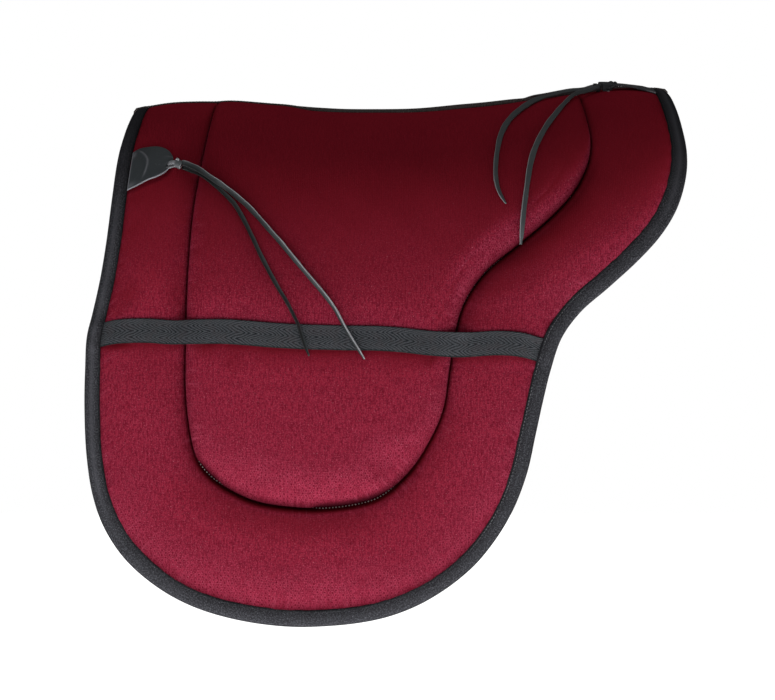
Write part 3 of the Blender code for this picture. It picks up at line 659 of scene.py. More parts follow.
def thread_mat(name, dark, light, shade_col=None):
    m = Nodes(name)
    uv, u, v = m.uv()
    ply = m.math('SINE', m.math('MULTIPLY', m.math('ADD', u, m.math('MULTIPLY', v, 0.6)), 2 * pi / 0.0007))
    fuzz = m.noise(m.obj(), 3000.0, 2.0)
    base = m.mix(m.step(-1, 1, ply), dark, light)
    base = m.mix(m.math('MULTIPLY', fuzz, 0.3), base, tuple(c * 0.7 for c in light))
    if shade_col is not None:
        # painted shade: the thread takes the dark colour where it is not lit
        base = m.mix(m.attr("thread_lit"), shade_col, base)
    n = m.bump(ply, 0.5, 0.0002)
    return m.finish(base, 0.9, n, spec=0.1)


M_COVER = mesh_cloth()
M_BIND = tape_cloth("binding_tape", (0.0235, 0.0235, 0.0260), (0.0530, 0.0530, 0.0605))
M_TAPE = tape_cloth("spine_tape", (0.079, 0.066, 0.064), (0.152, 0.131, 0.127), speck=0.40)
M_WEB = web_cloth()
M_LEATHER = leather("black_leather", (0.034, 0.042, 0.047), (0.062, 0.072, 0.080), (0.36, 0.36, 0.40))
M_LACE = leather("lace_leather", (0.040, 0.048, 0.052), (0.074, 0.084, 0.088), (0.62, 0.62, 0.66), (0.40, 0.58))
M_CORE = foam_mat("core_foam", (0.10, 0.10, 0.105), (0.26, 0.26, 0.27), 900.0)
M_INSERT = foam_mat("insert_foam", (0.36, 0.32, 0.24), (0.66, 0.61, 0.50), 700.0)
M_LINING = lining_mat()
# the third colour of each thread is its painted shade
M_THREAD_RED = thread_mat("channel_thread", (0.88, 0.72, 0.68), (1.0, 0.95, 0.92), (0.030, 0.003, 0.007))
M_THREAD_GREY = thread_mat("binding_thread", (0.110, 0.112, 0.120), (0.420, 0.425, 0.445), (0.026, 0.026, 0.028))
M_THREAD_DARK = thread_mat("tape_thread", (0.02, 0.02, 0.022), (0.08, 0.082, 0.088))

# ------------------------------------------------------------ shape of a half
CH_D = np.array([-9.0, -7.2, -5.6, -4.3, -3.2, -2.4, -1.8, -1.35, -1.0, -0.5, 0.1, 0.6, 0.85, 0.8, 0.5, 0.2,
                 0.1, 0.4, 1.1, 2.2, 3.8, 6.0, 9.0, 13.0, 18.0]) * MM
CH_OPEN = np.array([-9.0, -7.4, -6.0, -4.9, -3.9, -3.1, -2.5, -2.0, -1.5, -0.8, 0.0, 0.8, 1.4, 1.9, 2.3, 2.7,
                    3.1, 3.6, 4.3, 5.2, 6.5, 8.2, 10.6, 14.0, 18.0]) * MM
CH_H = np.array([13.0, 12.95, 12.8, 12.5, 11.9, 11.0, 9.8, 8.3, 6.8, 5.3, 4.8, 5.3, 6.6, 8.2, 10.0, 11.8,
                 13.6, 15.3, 16.9, 18.4, 19.8, 21.0, 22.0, 22.8, 23.4]) * MM
# painted shade of the sewn channel, column by column: darkest in its crease, softer either side of it, and under the
# lip at the rear
CH_CREASE_SHADE = np.array([0, 0, 0, 0, 0, 0.04, 0.10, 0.20, 0.32, 0.42, 0.45, 0.45, 0.40, 0.30, 0.20, 0.12,
                    0.06, 0.02, 0, 0, 0, 0, 0, 0, 0])
CH_SHADE = np.array([0.34, 0.38, 0.42, 0.46, 0.50, 0.55, 0.60, 0.64, 0.68, 0.72, 0.76, 0.80, 0.84, 0.88, 0.90, 0.90,
                     0.88, 0.84, 0.76, 0.60, 0.38, 0.16, 0.05, 0.0, 0])
REAR_LIP_SHADE = [0.56, 0.42, 0.24, 0.10, 0.03, 0.0, 0.0]
FLAT_H = 11.2 * MM
CROWN = [(-330, 1.8), (-281, 1.8), (-266, 3.6), (-245, 4.4), (-203, 5.4), (-148, 5.6), (-98, 6.0), (-48, 5.6), (2, 5.6),
         (50, 6.4), (75, 6.2), (107, 5.2), (140, 4.6), (160, 2.6), (190, 1.2), (225, 1.6), (250, 2.8), (285, 2.6),
         (302, 1.4), (330, 0.8)]
CROWN_Z = np.convolve(np.pad(monotone_table(CROWN, RISE_X), 18, mode='edge'), _k / _k.sum(), mode='valid')
RIM_T = np.array([0, 0.03, 0.08, 0.18, 0.33, 0.5, 0.7, 0.88, 1.0])
RIM_H = np.array([9.2, 10.8, 12.5, 14.2, 15.3, 15.6, 15.0, 13.9, 13.0]) * MM
RIM_T_AT = (np.arange(33) / 32.0) ** 1.25
def rim_height(t):
    fine = np.linspace(0, 1, 300)
    h = np.interp(fine, RIM_T, RIM_H)
    k = np.exp(-0.5 * (np.arange(-9, 10) / 4.0) ** 2)
    h2 = np.convolve(np.pad(h, 9, mode='reflect', reflect_type='odd'), k / k.sum(), mode='valid')
    return np.interp(t, fine, h2)


def crown(x, s):
    """Extra padding along the spine, drawn down under the sewn tape where that is wide."""
    s = np.asarray(s, float)
    pull = 0.72 * smoothstep(-0.118, -0.078, x) * (1 - 0.6 * smoothstep(0.13, 0.17, x))
    shape = pull * np.exp(-(s / (10.5 * MM)) ** 2) + (1 - pull) * (1 - smoothstep(0.016, 0.135, s))
    return np.interp(x, RISE_X, CROWN_Z) * shape


def fade_up(s):
    return smoothstep(-0.02, 0.115, s)


def fade_dip(s):
    return 0.30 * smoothstep(0.011, 0.032, s) + 0.70 * smoothstep(0.012, 0.11, s)


def open_seam(x, s):
    """Where the seam gapes so its thread shows: along the hem side and at the front corner."""
    a = smoothstep(-0.079, -0.064, x) * (1 - smoothstep(-0.012, 0.012, x)) * (s > 0.440)
    b = smoothstep(0.446, 0.454, s) * (1 - smoothstep(0.466, 0.475, s)) * (x < -0.165)
    return np.maximum(a, 0.6 * b)


OUT_PATH = smooth_path(OUTLINE)
OUT_ACC = arc(OUT_PATH)
_low = int(np.argmax(OUT_PATH[:, 1]))
FRONT_SIDE = OUT_PATH[:_low + 1]
REAR_SIDE = OUT_PATH[_low:][::-1]
def side_x(s):
    """x of the front and rear edges at distance s from the spine."""
    return (np.interp(s, np.maximum.accumulate(FRONT_SIDE[:, 1]), FRONT_SIDE[:, 0]),
            np.interp(s, np.maximum.accumulate(REAR_SIDE[:, 1]), REAR_SIDE[:, 0]))


def edge_distance(x, s):
    """Rough distance to the outer edge, measured square to it, for places beside the strap."""
    xf, xr = side_x(s)
    xf2, xr2 = side_x(np.asarray(s) + 0.004)
    cf = 1 / np.sqrt(1 + ((xf2 - xf) / 0.004) ** 2)
    cr = 1 / np.sqrt(1 + ((xr2 - xr) / 0.004) ** 2)
    return np.minimum((x - xf) * cf, (xr - x) * cr)


STRAP_PATH = smooth_path(STRAP_LINE)
def strap_s(x):
    return np.interp(x, STRAP_PATH[:, 0], STRAP_PATH[:, 1])


def strap_press(x, s, h):
    """The webbing pulls the padding down under it, most of all where its ends are sewn in."""
    a = s - strap_s(x)
    band = np.where(a < 0, 1 - smoothstep(7.5 * MM, 14.5 * MM, -a), 1 - smoothstep(9.5 * MM, 18 * MM, a))
    dist = edge_distance(x, s)
    end = 9.3 * MM + 5.2 * MM * (1 - np.exp(-np.maximum(dist - 18 * MM, 0) / (15 * MM)))
    low = np.minimum(h - 0.8 * MM, np.where(dist < 0.075, end + 0.09 * np.maximum(dist - 0.035, 0), h))
    return h * (1 - band) + np.minimum(low, h) * band


RIM_COLS = 32
BIND_LINE = edge_line(15.0 * MM)
LIP_LINE = ring_line(CH_D[0])
STITCH_WAVE = np.cumsum(np.concatenate([[0], np.linalg.norm(np.diff(RING_P, axis=0), axis=1)]))
EDGE_RUN = np.cumsum(np.concatenate([[0], np.linalg.norm(np.diff(EDGE_P, axis=0), axis=1)]))


def cover_layout():
    """Pattern positions and heights of the outer surface: U columns then inner patch."""
    cols, hs = [], []
    for d in (1.0, 4.0, 9.0):
        cols.append(edge_line(d * MM))
        hs.append(np.full(NST, (6.8 if d < 2 else 8.2 if d < 5 else 9.2) * MM))
    for k in range(RIM_COLS):
        t = RIM_T_AT[k]
        p = BIND_LINE * (1 - t) + LIP_LINE * t
        h = rim_height(t)
        up = smoothstep(-0.02, 0.085, p[:, 1])
        h = np.where(h > FLAT_H, FLAT_H + (h - FLAT_H) * up, h)
        cols.append(p)
        hs.append(h)
    for d, dop, h in zip(CH_D, CH_OPEN, CH_H):
        base = ring_line(0.0)
        shut = smoothstep(-0.015, 0.045, base[:, 1]) * (1 - open_seam(base[:, 0], base[:, 1]))
        wide = 1 + 0.40 * smoothstep(0.40, 0.46, base[:, 1]) * np.exp(-(d / (8.0 * MM)) ** 2)
        cols.append(RING_P + RING_N * (d * wide * shut + dop * (1 - shut))[:, None])
        s = cols[-1][:, 1]
        if h > FLAT_H:
            hs.append(FLAT_H + (h - FLAT_H) * fade_up(s))
        else:
            hs.append(FLAT_H - (FLAT_H - h) * fade_dip(s))
    P = np.stack(cols)
    H = np.stack(hs)
    Q = coons(P[-1])
    # crown of the insert: rises slowly from its edge
    i = np.arange(NF + 1)[:, None]
    j = np.arange(NC + 1)[None, :]
    ed = np.minimum(np.minimum(j, NC - j) * 0.0026, (NF - i) * 0.0033)
    hq = CH_H[-1] + 1.8 * MM * (1 - np.exp(-ed / 0.045))
    hq = FLAT_H + (hq - FLAT_H) * fade_up(Q[..., 1])
    return P, H, Q, hq


LAY_P, LAY_H, LAY_Q, LAY_HQ = cover_layout()
N_COL = LAY_P.shape[0]


def surface_detail(x, s, ring_d=None, run=None):
    """Small unevenness of the stuffed cloth."""
    h = 0.45 * MM * wobble(x, s, 0.055, 0.4) + 0.22 * MM * wobble(x, s, 0.021, 2.2)
    return h


COARSE_COLS = [3, 5, 8, 11, 14, 18, 22, 26, 30, 34, 35, 39, 44, 49, 53, 56, 59]
COARSE_STEP = 3
def swell():
    """Fill the cover: the cloth is held at its seams and pressed out by the padding."""
    side = -1.0
    step = COARSE_STEP
    st = np.arange(0, NST, step)
    if st[-1] != NST - 1:
        st = np.append(st, NST - 1)
    cols = COARSE_COLS
    rows_i = [int(v) for v in st if v <= NF]
    js = [int(v) - NF for v in st if NF <= v <= NF + NC]
    P = LAY_P[np.ix_(cols, st)]
    H = LAY_H[np.ix_(cols, st)]
    K, S = len(cols), len(st)
    pts = [skin(side, P[..., 0].ravel(), P[..., 1].ravel(), H.ravel())]
    nr = [skin_normal(side, P[..., 1].ravel())]
    hold = np.zeros((K, S))
    hold[0] = 1.0
    hold[cols.index(44)] = 1.0
    hold[:, 0] = 1.0
    hold[:, -1] = 1.0
    # under the strap the filling cannot rise
    a = np.abs(P[..., 1] - strap_s(P[..., 0]))
    hold = np.maximum(hold, 0.35 * (a < 9 * MM))
    holds = [hold.ravel()]
    ri = np.array(rows_i)
    ji = np.array(js)
    Q = LAY_Q[np.ix_(ri[:-1], ji[1:-1])]
    HQ = LAY_HQ[np.ix_(ri[:-1], ji[1:-1])]
    pts.append(skin(side, Q[..., 0].ravel(), Q[..., 1].ravel(), HQ.ravel()))
    nr.append(skin_normal(side, Q[..., 1].ravel()))
    hq = np.zeros(Q.shape[:2])
    hq[0, :] = 1.0
    hq = np.maximum(hq, 0.35 * (np.abs(Q[..., 1] - strap_s(Q[..., 0])) < 9 * MM))
    holds.append(hq.ravel())
    verts = np.vstack(pts)
    norms = np.vstack(nr)
    pins = np.concatenate(holds)
    faces = [grid_faces(K, S)]
    base = K * S
    nI, nJ = len(ri), len(ji)
    idx = np.zeros((nI, nJ), int)
    last = (K - 1) * S
    pos = {int(v): n for n, v in enumerate(st)}
    for a_, r in enumerate(ri):
        idx[a_, 0] = last + pos[int(r)]
        idx[a_, -1] = last + (S - 1 - a_)
    for b_, c in enumerate(ji):
        idx[-1, b_] = last + pos[NF + int(c)]
    inner = np.arange((nI - 1) * (nJ - 2)).reshape(nI - 1, nJ - 2)
    idx[:-1, 1:-1] = base + inner
    faces.append(np.stack([idx[:-1, :-1], idx[:-1, 1:], idx[1:, 1:], idx[1:, :-1]], axis=-1).reshape(-1, 4)[:, ::-1])
    faces = np.vstack(faces)
    ob = mesh_object("swell_cloth", verts, faces)
    me = ob.data
    # outward faces, so that the pressure pushes away from the back
    f0 = me.polygons[len(faces) // 2]
    if Vector(norms[f0.vertices[0]]).dot(f0.normal) < 0:
        me.flip_normals()
    vg = ob.vertex_groups.new(name="held")
    for i, w in enumerate(pins):
        if w > 0:
            vg.add([i], float(w), 'REPLACE')
    m = ob.modifiers.new("cloth", 'CLOTH')
    c = m.settings
    c.quality = 6
    c.mass = 0.25
    c.tension_stiffness = 9.0
    c.compression_stiffness = 4.0
    c.shear_stiffness = 3.0
    c.bending_stiffness = 0.8
    c.tension_damping = 8.0
    c.compression_damping = 8.0
    c.shear_damping = 8.0
    c.air_damping = 3.0
    c.vertex_group_mass = "held"
    c.pin_stiffness = 1.0
    c.shrink_min = -0.012
    c.use_pressure = True
    c.uniform_pressure_force = 2.2
    c.effector_weights.gravity = 0.0
    m.collision_settings.use_collision = False
    m.collision_settings.use_self_collision = False
    m.point_cache.frame_start = 1
    m.point_cache.frame_end = 26
    sc = bpy.context.scene
    for f in range(1, 25):
        sc.frame_set(f)
    dg = bpy.context.evaluated_depsgraph_get()
    ev = ob.evaluated_get(dg)
    co = np.zeros(len(verts) * 3, np.float32)
    ev.data.vertices.foreach_get("co", co)
    co = co.reshape(-1, 3)
    sc.frame_set(1)
    out = ((co - verts) * norms).sum(1)
    bpy.data.objects.remove(ob)
    cap = 5.5 * MM
    out = np.maximum(cap * np.tanh(out / cap), -0.4 * MM)
    strip = out[:base].reshape(K, S)
    # back to every station and column
    fine_st = np.arange(NST)
    full = np.stack([np.interp(fine_st, st, strip[k]) for k in range(K)])
    g = np.exp(-0.5 * (np.arange(-6, 7) / 2.2) ** 2)
    g /= g.sum()
    full = np.stack([np.convolve(np.pad(r, 6, mode='edge'), g, mode='valid') for r in full])
    D = np.zeros((N_COL, NST))
    cf = np.arange(N_COL)
    for i in range(NST):
        D[:, i] = np.interp(cf, cols, full[:, i], left=0.0)
    D[3:35] *= 0.62
    D[3:35] = np.stack([np.convolve(np.pad(D[3:35, i], 3, mode='reflect', reflect_type='odd'),
                                    np.array([1, 2, 3, 4, 3, 2, 1]) / 16.0, mode='valid')
                        for i in range(NST)], axis=1)
    DQ_c = np.zeros((nI, nJ))
    DQ_c[:-1, 1:-1] = out[base:].reshape(nI - 1, nJ - 2)
    DQ_c[:, 0] = out[idx[:, 0]]
    DQ_c[:, -1] = out[idx[:, -1]]
    DQ_c[-1, :] = out[idx[-1, :]]
    tmp = np.stack([np.interp(np.arange(NC + 1), ji, r) for r in DQ_c])
    DQ = np.stack([np.interp(np.arange(NF + 1), ri, tmp[:, c_]) for c_ in range(NC + 1)], axis=1)
    for _ in range(4):
        pad = np.pad(DQ, 1, mode='edge')
        DQ = (pad[:-2, 1:-1] + pad[2:, 1:-1] + pad[1:-1, :-2] + pad[1:-1, 2:] + 4 * pad[1:-1, 1:-1]) / 8
    DQ[:, 0] = D[-1, :NF + 1]
    DQ[:, NC] = D[-1, ::-1][:NF + 1]
    DQ[NF, :] = D[-1, NF:NF + NC + 1]
    print("swell rim", float(D[3:35].max() * 1000), "insert", float(DQ.max() * 1000), float(DQ.min() * 1000))
    return D, DQ


def puckers(d, run, side_gain=1.0):
    """Short radial ripples where the cloth is drawn into the sewn channel."""
    a = np.sin(2 * pi * run / 0.0125 + 1.6 * np.sin(run / 0.031)) * 0.6 \
        + np.sin(2 * pi * run / 0.0071 + 2.1 * np.sin(run / 0.047)) * 0.4
    fall = np.exp(-((np.abs(d) - 4.5 * MM) / (5.0 * MM)) ** 2)
    return 0.22 * MM * a * fall * side_gain


def cover_heights():
    H = LAY_H.copy()
    D, DQ = swell()
    for k in range(N_COL):
        p = LAY_P[k]
        up = smoothstep(-0.005, 0.05, p[:, 1])
        if k >= 3:
            H[k] += surface_detail(p[:, 0], p[:, 1]) * up * (0.35 if 40 <= k <= 50 else 1.0)
            H[k] += D[k] * up
        if k >= 3 + RIM_COLS:
            H[k] += puckers(CH_D[k - 3 - RIM_COLS], STITCH_WAVE) * up * (0.3 if 41 <= k <= 46 else 1.0)
        elif k >= 3:
            t = RIM_T_AT[k - 3]
            wide = np.linalg.norm(LIP_LINE - BIND_LINE, axis=1)
            H[k] += puckers(-(wide * (1 - t) + 9 * MM), STITCH_WAVE) * up
            near = wide * t
            rip = np.sin(2 * pi * EDGE_RUN / 0.017 + 1.3 * np.sin(EDGE_RUN / 0.05))
            H[k] += 0.22 * MM * rip * np.exp(-((near - 4 * MM) / (5 * MM)) ** 2) * up
        H[k] += crown(p[:, 0], p[:, 1])
        if k >= 3:
            H[k] = strap_press(p[:, 0], p[:, 1], H[k])
    HQ = LAY_HQ + (surface_detail(LAY_Q[..., 0], LAY_Q[..., 1]) + DQ) * smoothstep(-0.005, 0.05, LAY_Q[..., 1])
    HQ += crown(LAY_Q[..., 0], LAY_Q[..., 1])
    HQ = strap_press(LAY_Q[..., 0], LAY_Q[..., 1], HQ)
    return H, HQ


COV_H, COV_HQ = cover_heights()


def sheet_faces(n_col, nf, nc):
    """Faces of a sheet of U-shaped columns round an inner patch, and the numbers of the patch's points."""
    nst = 2 * nf + nc + 1
    base = n_col * nst
    idx = np.zeros((nf + 1, nc + 1), int)
    last = (n_col - 1) * nst
    idx[:, 0] = last + np.arange(nf + 1)
    idx[:, nc] = last + nst - 1 - np.arange(nf + 1)
    idx[nf, :] = last + nf + np.arange(nc + 1)
    idx[:nf, 1:nc] = base + np.arange(nf * (nc - 1)).reshape(nf, nc - 1)
    a, b = idx[:-1, :-1], idx[:-1, 1:]
    c, d = idx[1:, 1:], idx[1:, :-1]
    return np.vstack([grid_faces(n_col, nst),
                      np.stack([a, b, c, d], axis=-1).reshape(-1, 4)[:, ::-1]]), idx


def shell_object(name, side, P, Q, upper, lower, mat, attrs=None, s_min=0.0, uvs=None):
    """Closed layer over the pattern: columns P with patch Q, between upper and lower heights."""
    n_col, nst = P.shape[0], P.shape[1]
    nf, nc = Q.shape[0] - 1, Q.shape[1] - 1

    def flat(pair):
        a, q = pair
        tail = a.shape[2:]
        return np.concatenate([a.reshape((-1,) + tail), q[:nf, 1:nc].reshape((-1,) + tail)])

    pos = flat((P, Q))
    s = np.maximum(pos[:, 1], s_min)
    outer = skin(side, pos[:, 0], s, flat(upper))
    inner = skin(side, pos[:, 0], s, flat(lower))
    n = len(outer)
    fo, idx = sheet_faces(n_col, nf, nc)
    v = np.vstack([outer, inner])
    fi = fo[:, ::-1] + n
    ring = list(range(nst)) + [k * nst + nst - 1 for k in range(1, n_col)] \
        + [int(q) for q in idx[0, ::-1][1:]] + [k * nst for k in range(n_col - 2, 0, -1)]
    rim = np.array([[a, b, b + n, a + n] for a, b in zip(ring, ring[1:] + ring[:1])])
    # the winding is settled by what most faces say, and the rim runs against it
    c = np.cross(v[fo[:, 1]] - v[fo[:, 0]], v[fo[:, 2]] - v[fo[:, 1]])
    if (c * skin_normal(side, pos[fo[:, 0], 1])).sum() < 0:
        fo, fi = fo[:, ::-1], fi[:, ::-1]
    edge = set()
    for f in fo[:nst - 1]:
        f = list(f)
        for a, b in zip(f, f[1:] + f[:1]):
            edge.add((a, b))
    if (ring[0], ring[1]) in edge:
        rim = rim[:, ::-1]
    values = {k: np.concatenate([flat(a), flat(a)]) for k, a in (attrs or {}).items()}
    if uvs is not None:
        pos = flat(uvs)
    return mesh_object(name, v, np.vstack([fo, fi, rim]), uv=np.vstack([pos, pos]), attrs=values, mat=mat)


def lace_shade(pos):
    """Soft shade of the two thongs that hang over the front of the flap."""
    q = np.asarray(pos).reshape(-1, 2)
    best = np.zeros(len(q))
    for line, amount in ((FRONT_LACE_A, 0.26), (FRONT_LACE_B, 0.32), (REAR_LACE_A, 0.10), (REAR_LACE_B, 0.18)):
        path = smooth_path(line)[::3]
        d = np.full(len(q), 1.0)
        for a in path:
            d = np.minimum(d, (q[:, 0] - a[0]) ** 2 + (q[:, 1] - a[1] - 3 * MM) ** 2)
        best = np.maximum(best, amount * np.exp(-np.sqrt(d) / (13 * MM)))
    fade = 1 - smoothstep(0.235, 0.30, q[:, 1])
    start = 0.45 + 0.55 * smoothstep(0.125, 0.165, q[:, 1]) * (q[:, 0] < 0) + 0.55 * (q[:, 0] >= 0)
    return (best * start * (0.30 + 0.70 * fade)).reshape(np.asarray(pos).shape[:-1])


def patch_shade(pos):
    """Dark line of shade just below the lower edge of the front patch."""
    q = np.asarray(pos).reshape(-1, 2)
    d = np.full(len(q), 1.0)
    for a in smooth_path(FRONT_LO)[::3]:
        d = np.minimum(d, (q[:, 0] - a[0]) ** 2 + (q[:, 1] - a[1] - 1.6 * MM) ** 2)
    return (0.70 * np.exp(-d / (2.6 * MM) ** 2)).reshape(np.asarray(pos).shape[:-1])


def pleat_shading_weight():
    """How strongly the painted light and shade of small pleats show: beside the channel and beside the binding."""
    a = np.zeros((N_COL, NST))
    low = smoothstep(0.17, 0.27, RING_P[:, 1])
    for k in range(len(CH_D)):
        if CH_D[k] >= 0:
            a[3 + RIM_COLS + k] = np.exp(-(CH_D[k] / (13 * MM)) ** 2) * low
        else:
            a[3 + RIM_COLS + k] = 0.5 * low
    wide = np.linalg.norm(LIP_LINE - BIND_LINE, axis=1)
    for k in range(RIM_COLS):
        t = RIM_T_AT[k]
        a[3 + k] = np.maximum(np.exp(-(wide * t / (17 * MM)) ** 2), 0.5 * np.exp(-(wide * (1 - t) / (6 * MM)) ** 2)) * low
    return a, np.zeros_like(COV_HQ)


def cloth_uv():
    """Pattern positions that follow the real length of cloth down into the channel."""
    P = LAY_P.copy()
    rings = np.stack([skin(-1.0, LAY_P[3 + RIM_COLS + k][:, 0], LAY_P[3 + RIM_COLS + k][:, 1], COV_H[3 + RIM_COLS + k])
                      for k in range(len(CH_D))])
    step = np.linalg.norm(np.diff(rings, axis=0), axis=2)
    low = int(np.argmin(CH_H))
    for k in range(len(CH_D)):
        q = 3 + RIM_COLS + k
        if k > low:
            P[q] = LAY_P[3 + RIM_COLS + len(CH_D) - 1] - RING_N * step[k:].sum(0)[:, None]
        else:
            P[q] = LAY_P[3 + RIM_COLS] + RING_N * step[:k].sum(0)[:, None]
    return P, LAY_Q


# painted light and shade by tilt: a gain on the cover's colour for each upward tilt of its surface
TILT_NZ = [-1.0, 0.19, 0.25, 0.29, 0.342, 0.378, 0.42, 0.472, 0.536, 0.606, 0.70, 0.79, 0.877, 0.96, 1.0]
TILT_LIGHT_GAIN = [1.00, 1.00, 1.14, 1.17, 1.04, 0.97, 0.92, 0.87, 0.81, 0.76, 0.76, 0.85, 1.03, 1.13, 1.15]


def lit_facing_attributes(ob, name="lit_facing"):
    """Painted light by facing: 0 where the cloth faces up, away from the low light, 1 where it faces sideways or down
    towards it.
    """
    me = ob.data
    n = np.zeros(len(me.vertices) * 3, np.float32)
    me.vertex_normals.foreach_get("vector", n)
    nz = n.reshape(-1, 3)[:, 2]
    a = me.attributes.new(name, 'FLOAT', 'POINT')
    a.data.foreach_set("value", smoothstep(-0.66, -0.04, -nz).astype(np.float32))
    # painted light and shade by tilt: the cloth is darker where it leans half way and lighter where it stands nearly
    # upright or faces straight up; the darkening is weaker towards the front edge
    co = np.zeros(len(me.vertices) * 3, np.float32)
    me.vertices.foreach_get("co", co)
    x = co.reshape(-1, 3)[:, 0]
    # the hem attribute carries painted light along the rear hem
    gain = np.zeros(len(me.vertices), np.float32)
    me.attributes["hem"].data.foreach_get("value", gain)
    painted_light_gain = np.interp(nz, TILT_NZ, TILT_LIGHT_GAIN)
    painted_light_gain = 1 - (1 - painted_light_gain) * np.where(painted_light_gain < 1, 0.40 + 0.60 * smoothstep(-0.235, -0.195, x), 1.0)
    # and painted lighter at two listed places, just below the strap and on the front rim, and darker at a third: (x, s,
    # reach in x, reach in z, gain)
    z = co.reshape(-1, 3)[:, 2]
    for cx, cs, wx, wz, amount in ((-0.053, 0.345, 0.088, 0.014, 0.17), (-0.244, 0.272, 0.018, 0.024, 0.20),
                                   (0.136, 0.243, 0.030, 0.026, -0.13)):
        zc = float(skin(-1.0, np.array([cx]), np.array([cs]), np.array([0.015]))[0][2])
        painted_light_gain = painted_light_gain * (1 + amount * np.exp(-((x - cx) / wx) ** 4 - ((z - zc) / wz) ** 2))
    b = me.attributes.new("painted_light_gain", 'FLOAT', 'POINT')
    b.data.foreach_set("value", (painted_light_gain * (1 + 0.50 * gain)).astype(np.float32))


# where something is sewn in under the binding, it stands up a little:
# (front edge?, from s, to s, lift)
TUCKS = [(True, 0.2995, 0.3250, 1.9 * MM), (False, 0.3240, 0.3530, 1.9 * MM)]


def binding_lift():
    i = np.arange(NST)
    front = i < NST // 2
    s = EDGE_P[:, 1]
    lift = np.zeros(NST)
    for is_front, a, b, h in TUCKS:
        w = smoothstep(a - 0.006, a + 0.001, s) * (1 - smoothstep(b - 0.001, b + 0.006, s))
        lift = np.maximum(lift, h * w * (front == is_front))
    return lift


LIFT = binding_lift()
BIND_PROFILE = [(17.7, 9.5), (17.9, 10.3), (17.5, 11.0), (16.2, 11.35), (14.9, 11.05), (13.6, 11.35),
                (11.0, 11.9), (8.0, 12.1), (5.2, 11.7), (3.0, 10.9), (1.4, 9.7), (0.4, 8.0),
                (0.0, 6.0), (-0.1, 4.2), (0.1, 2.4), (0.7, 0.6), (1.8, -0.8), (3.6, -1.6),
                (6.5, -2.1), (10.0, -2.2), (13.0, -1.9), (14.3, -1.6), (15.6, -1.9), (17.0, -1.6),
                (17.6, -1.0), (17.5, -0.3), (14.0, -0.25), (4.0, -0.25), (2.2, 1.0), (2.0, 4.5),
                (2.4, 8.2), (4.0, 9.3), (14.0, 9.5)]


def build_binding(name, side):
    prof = np.array(BIND_PROFILE) * MM
    rings = []
    wav = 0.35 * MM * np.sin(EDGE_RUN / 0.013 + 1.7 * np.sin(EDGE_RUN / 0.041)) \
        + 0.25 * MM * np.sin(EDGE_RUN / 0.0052 + 0.8)
    width_wav = 0.35 * MM * np.sin(EDGE_RUN / 0.027 + 0.6 * np.sin(EDGE_RUN / 0.011))
    i = np.arange(NST)
    width_wav = width_wav - 1.5 * MM * (i < NST // 2) * (1 - smoothstep(0.40, 0.52, EDGE_P[:, 1])) \
        + 0.8 * MM * (i > NST // 2) * smoothstep(0.06, 0.16, EDGE_P[:, 1]) * (1 - smoothstep(0.26, 0.34, EDGE_P[:, 1]))
    rough = np.where(i < NST // 2, 0.35 + 0.65 * smoothstep(0.06, 0.20, EDGE_P[:, 1]),
                     0.10 + 0.90 * smoothstep(0.13, 0.22, EDGE_P[:, 1]))
    for d, h in prof:
        w_top = 1.0 if h > 9.2 * MM else 0.0
        depth = np.clip(d / (17.5 * MM), 0, 1)
        pos = EDGE_P + EDGE_N * (d + width_wav * depth)[:, None]
        hh = h + wav * (1.0 if h > 9.6 * MM or h < -0.5 * MM else 0.3) * (0.4 + 0.6 * sin(pi * depth)) \
            * (1 if h > 0 else -1) + LIFT * w_top * smoothstep(1.0 * MM, 6.0 * MM, d) \
            + crown(pos[:, 0], pos[:, 1]) * float(smoothstep(5.0 * MM, 9.0 * MM, h))
        rings.append(skin(side, pos[:, 0], pos[:, 1], hh))
    rings = np.stack(rings, axis=1)          # station, profile, 3
    run = np.linalg.norm(np.diff(prof, axis=0), axis=1)
    across = np.concatenate([[0], np.cumsum(run)])
    uv = np.stack(np.broadcast_arrays(EDGE_RUN[:, None], across[None, :]), axis=-1)
    speckle = np.repeat(rough, len(prof))
    # painted shade along both folded edges, most on the outer edge low down, and a painted highlight down the middle
    rear_top = (i > NST // 2) * (1 - smoothstep(0.17, 0.27, EDGE_P[:, 1]))
    low_edge = smoothstep(0.30, 0.46, EDGE_P[:, 1])
    fore = (i < NST // 2) * smoothstep(0.13, 0.19, EDGE_P[:, 1]) * (1 - smoothstep(0.46, 0.54, EDGE_P[:, 1]))
    tone = np.full((NST, len(prof)), 0.5)
    for k, (d, h) in enumerate(prof):
        if h < -1.0 * MM:
            continue
        inner = float(smoothstep(13.8 * MM, 16.6 * MM, d))
        outer = float(smoothstep(2.2 * MM, 0.2 * MM, d)) if h > 0 else 1.0
        mid = exp(-((d / MM - 8.5) / 3.6) ** 2)
        tone[:, k] = 0.5 - 0.34 * inner + (0.12 + 0.16 * fore) * mid * (1 - rear_top) \
            + outer * (-0.10 * rear_top - (0.14 + 0.26 * low_edge) * (1 - rear_top)) + 0.26 * rear_top * mid
    return loft(name, rings, M_BIND, uv=uv, attrs={"speckle": speckle, "tone": tone.ravel()}, flip=side > 0)


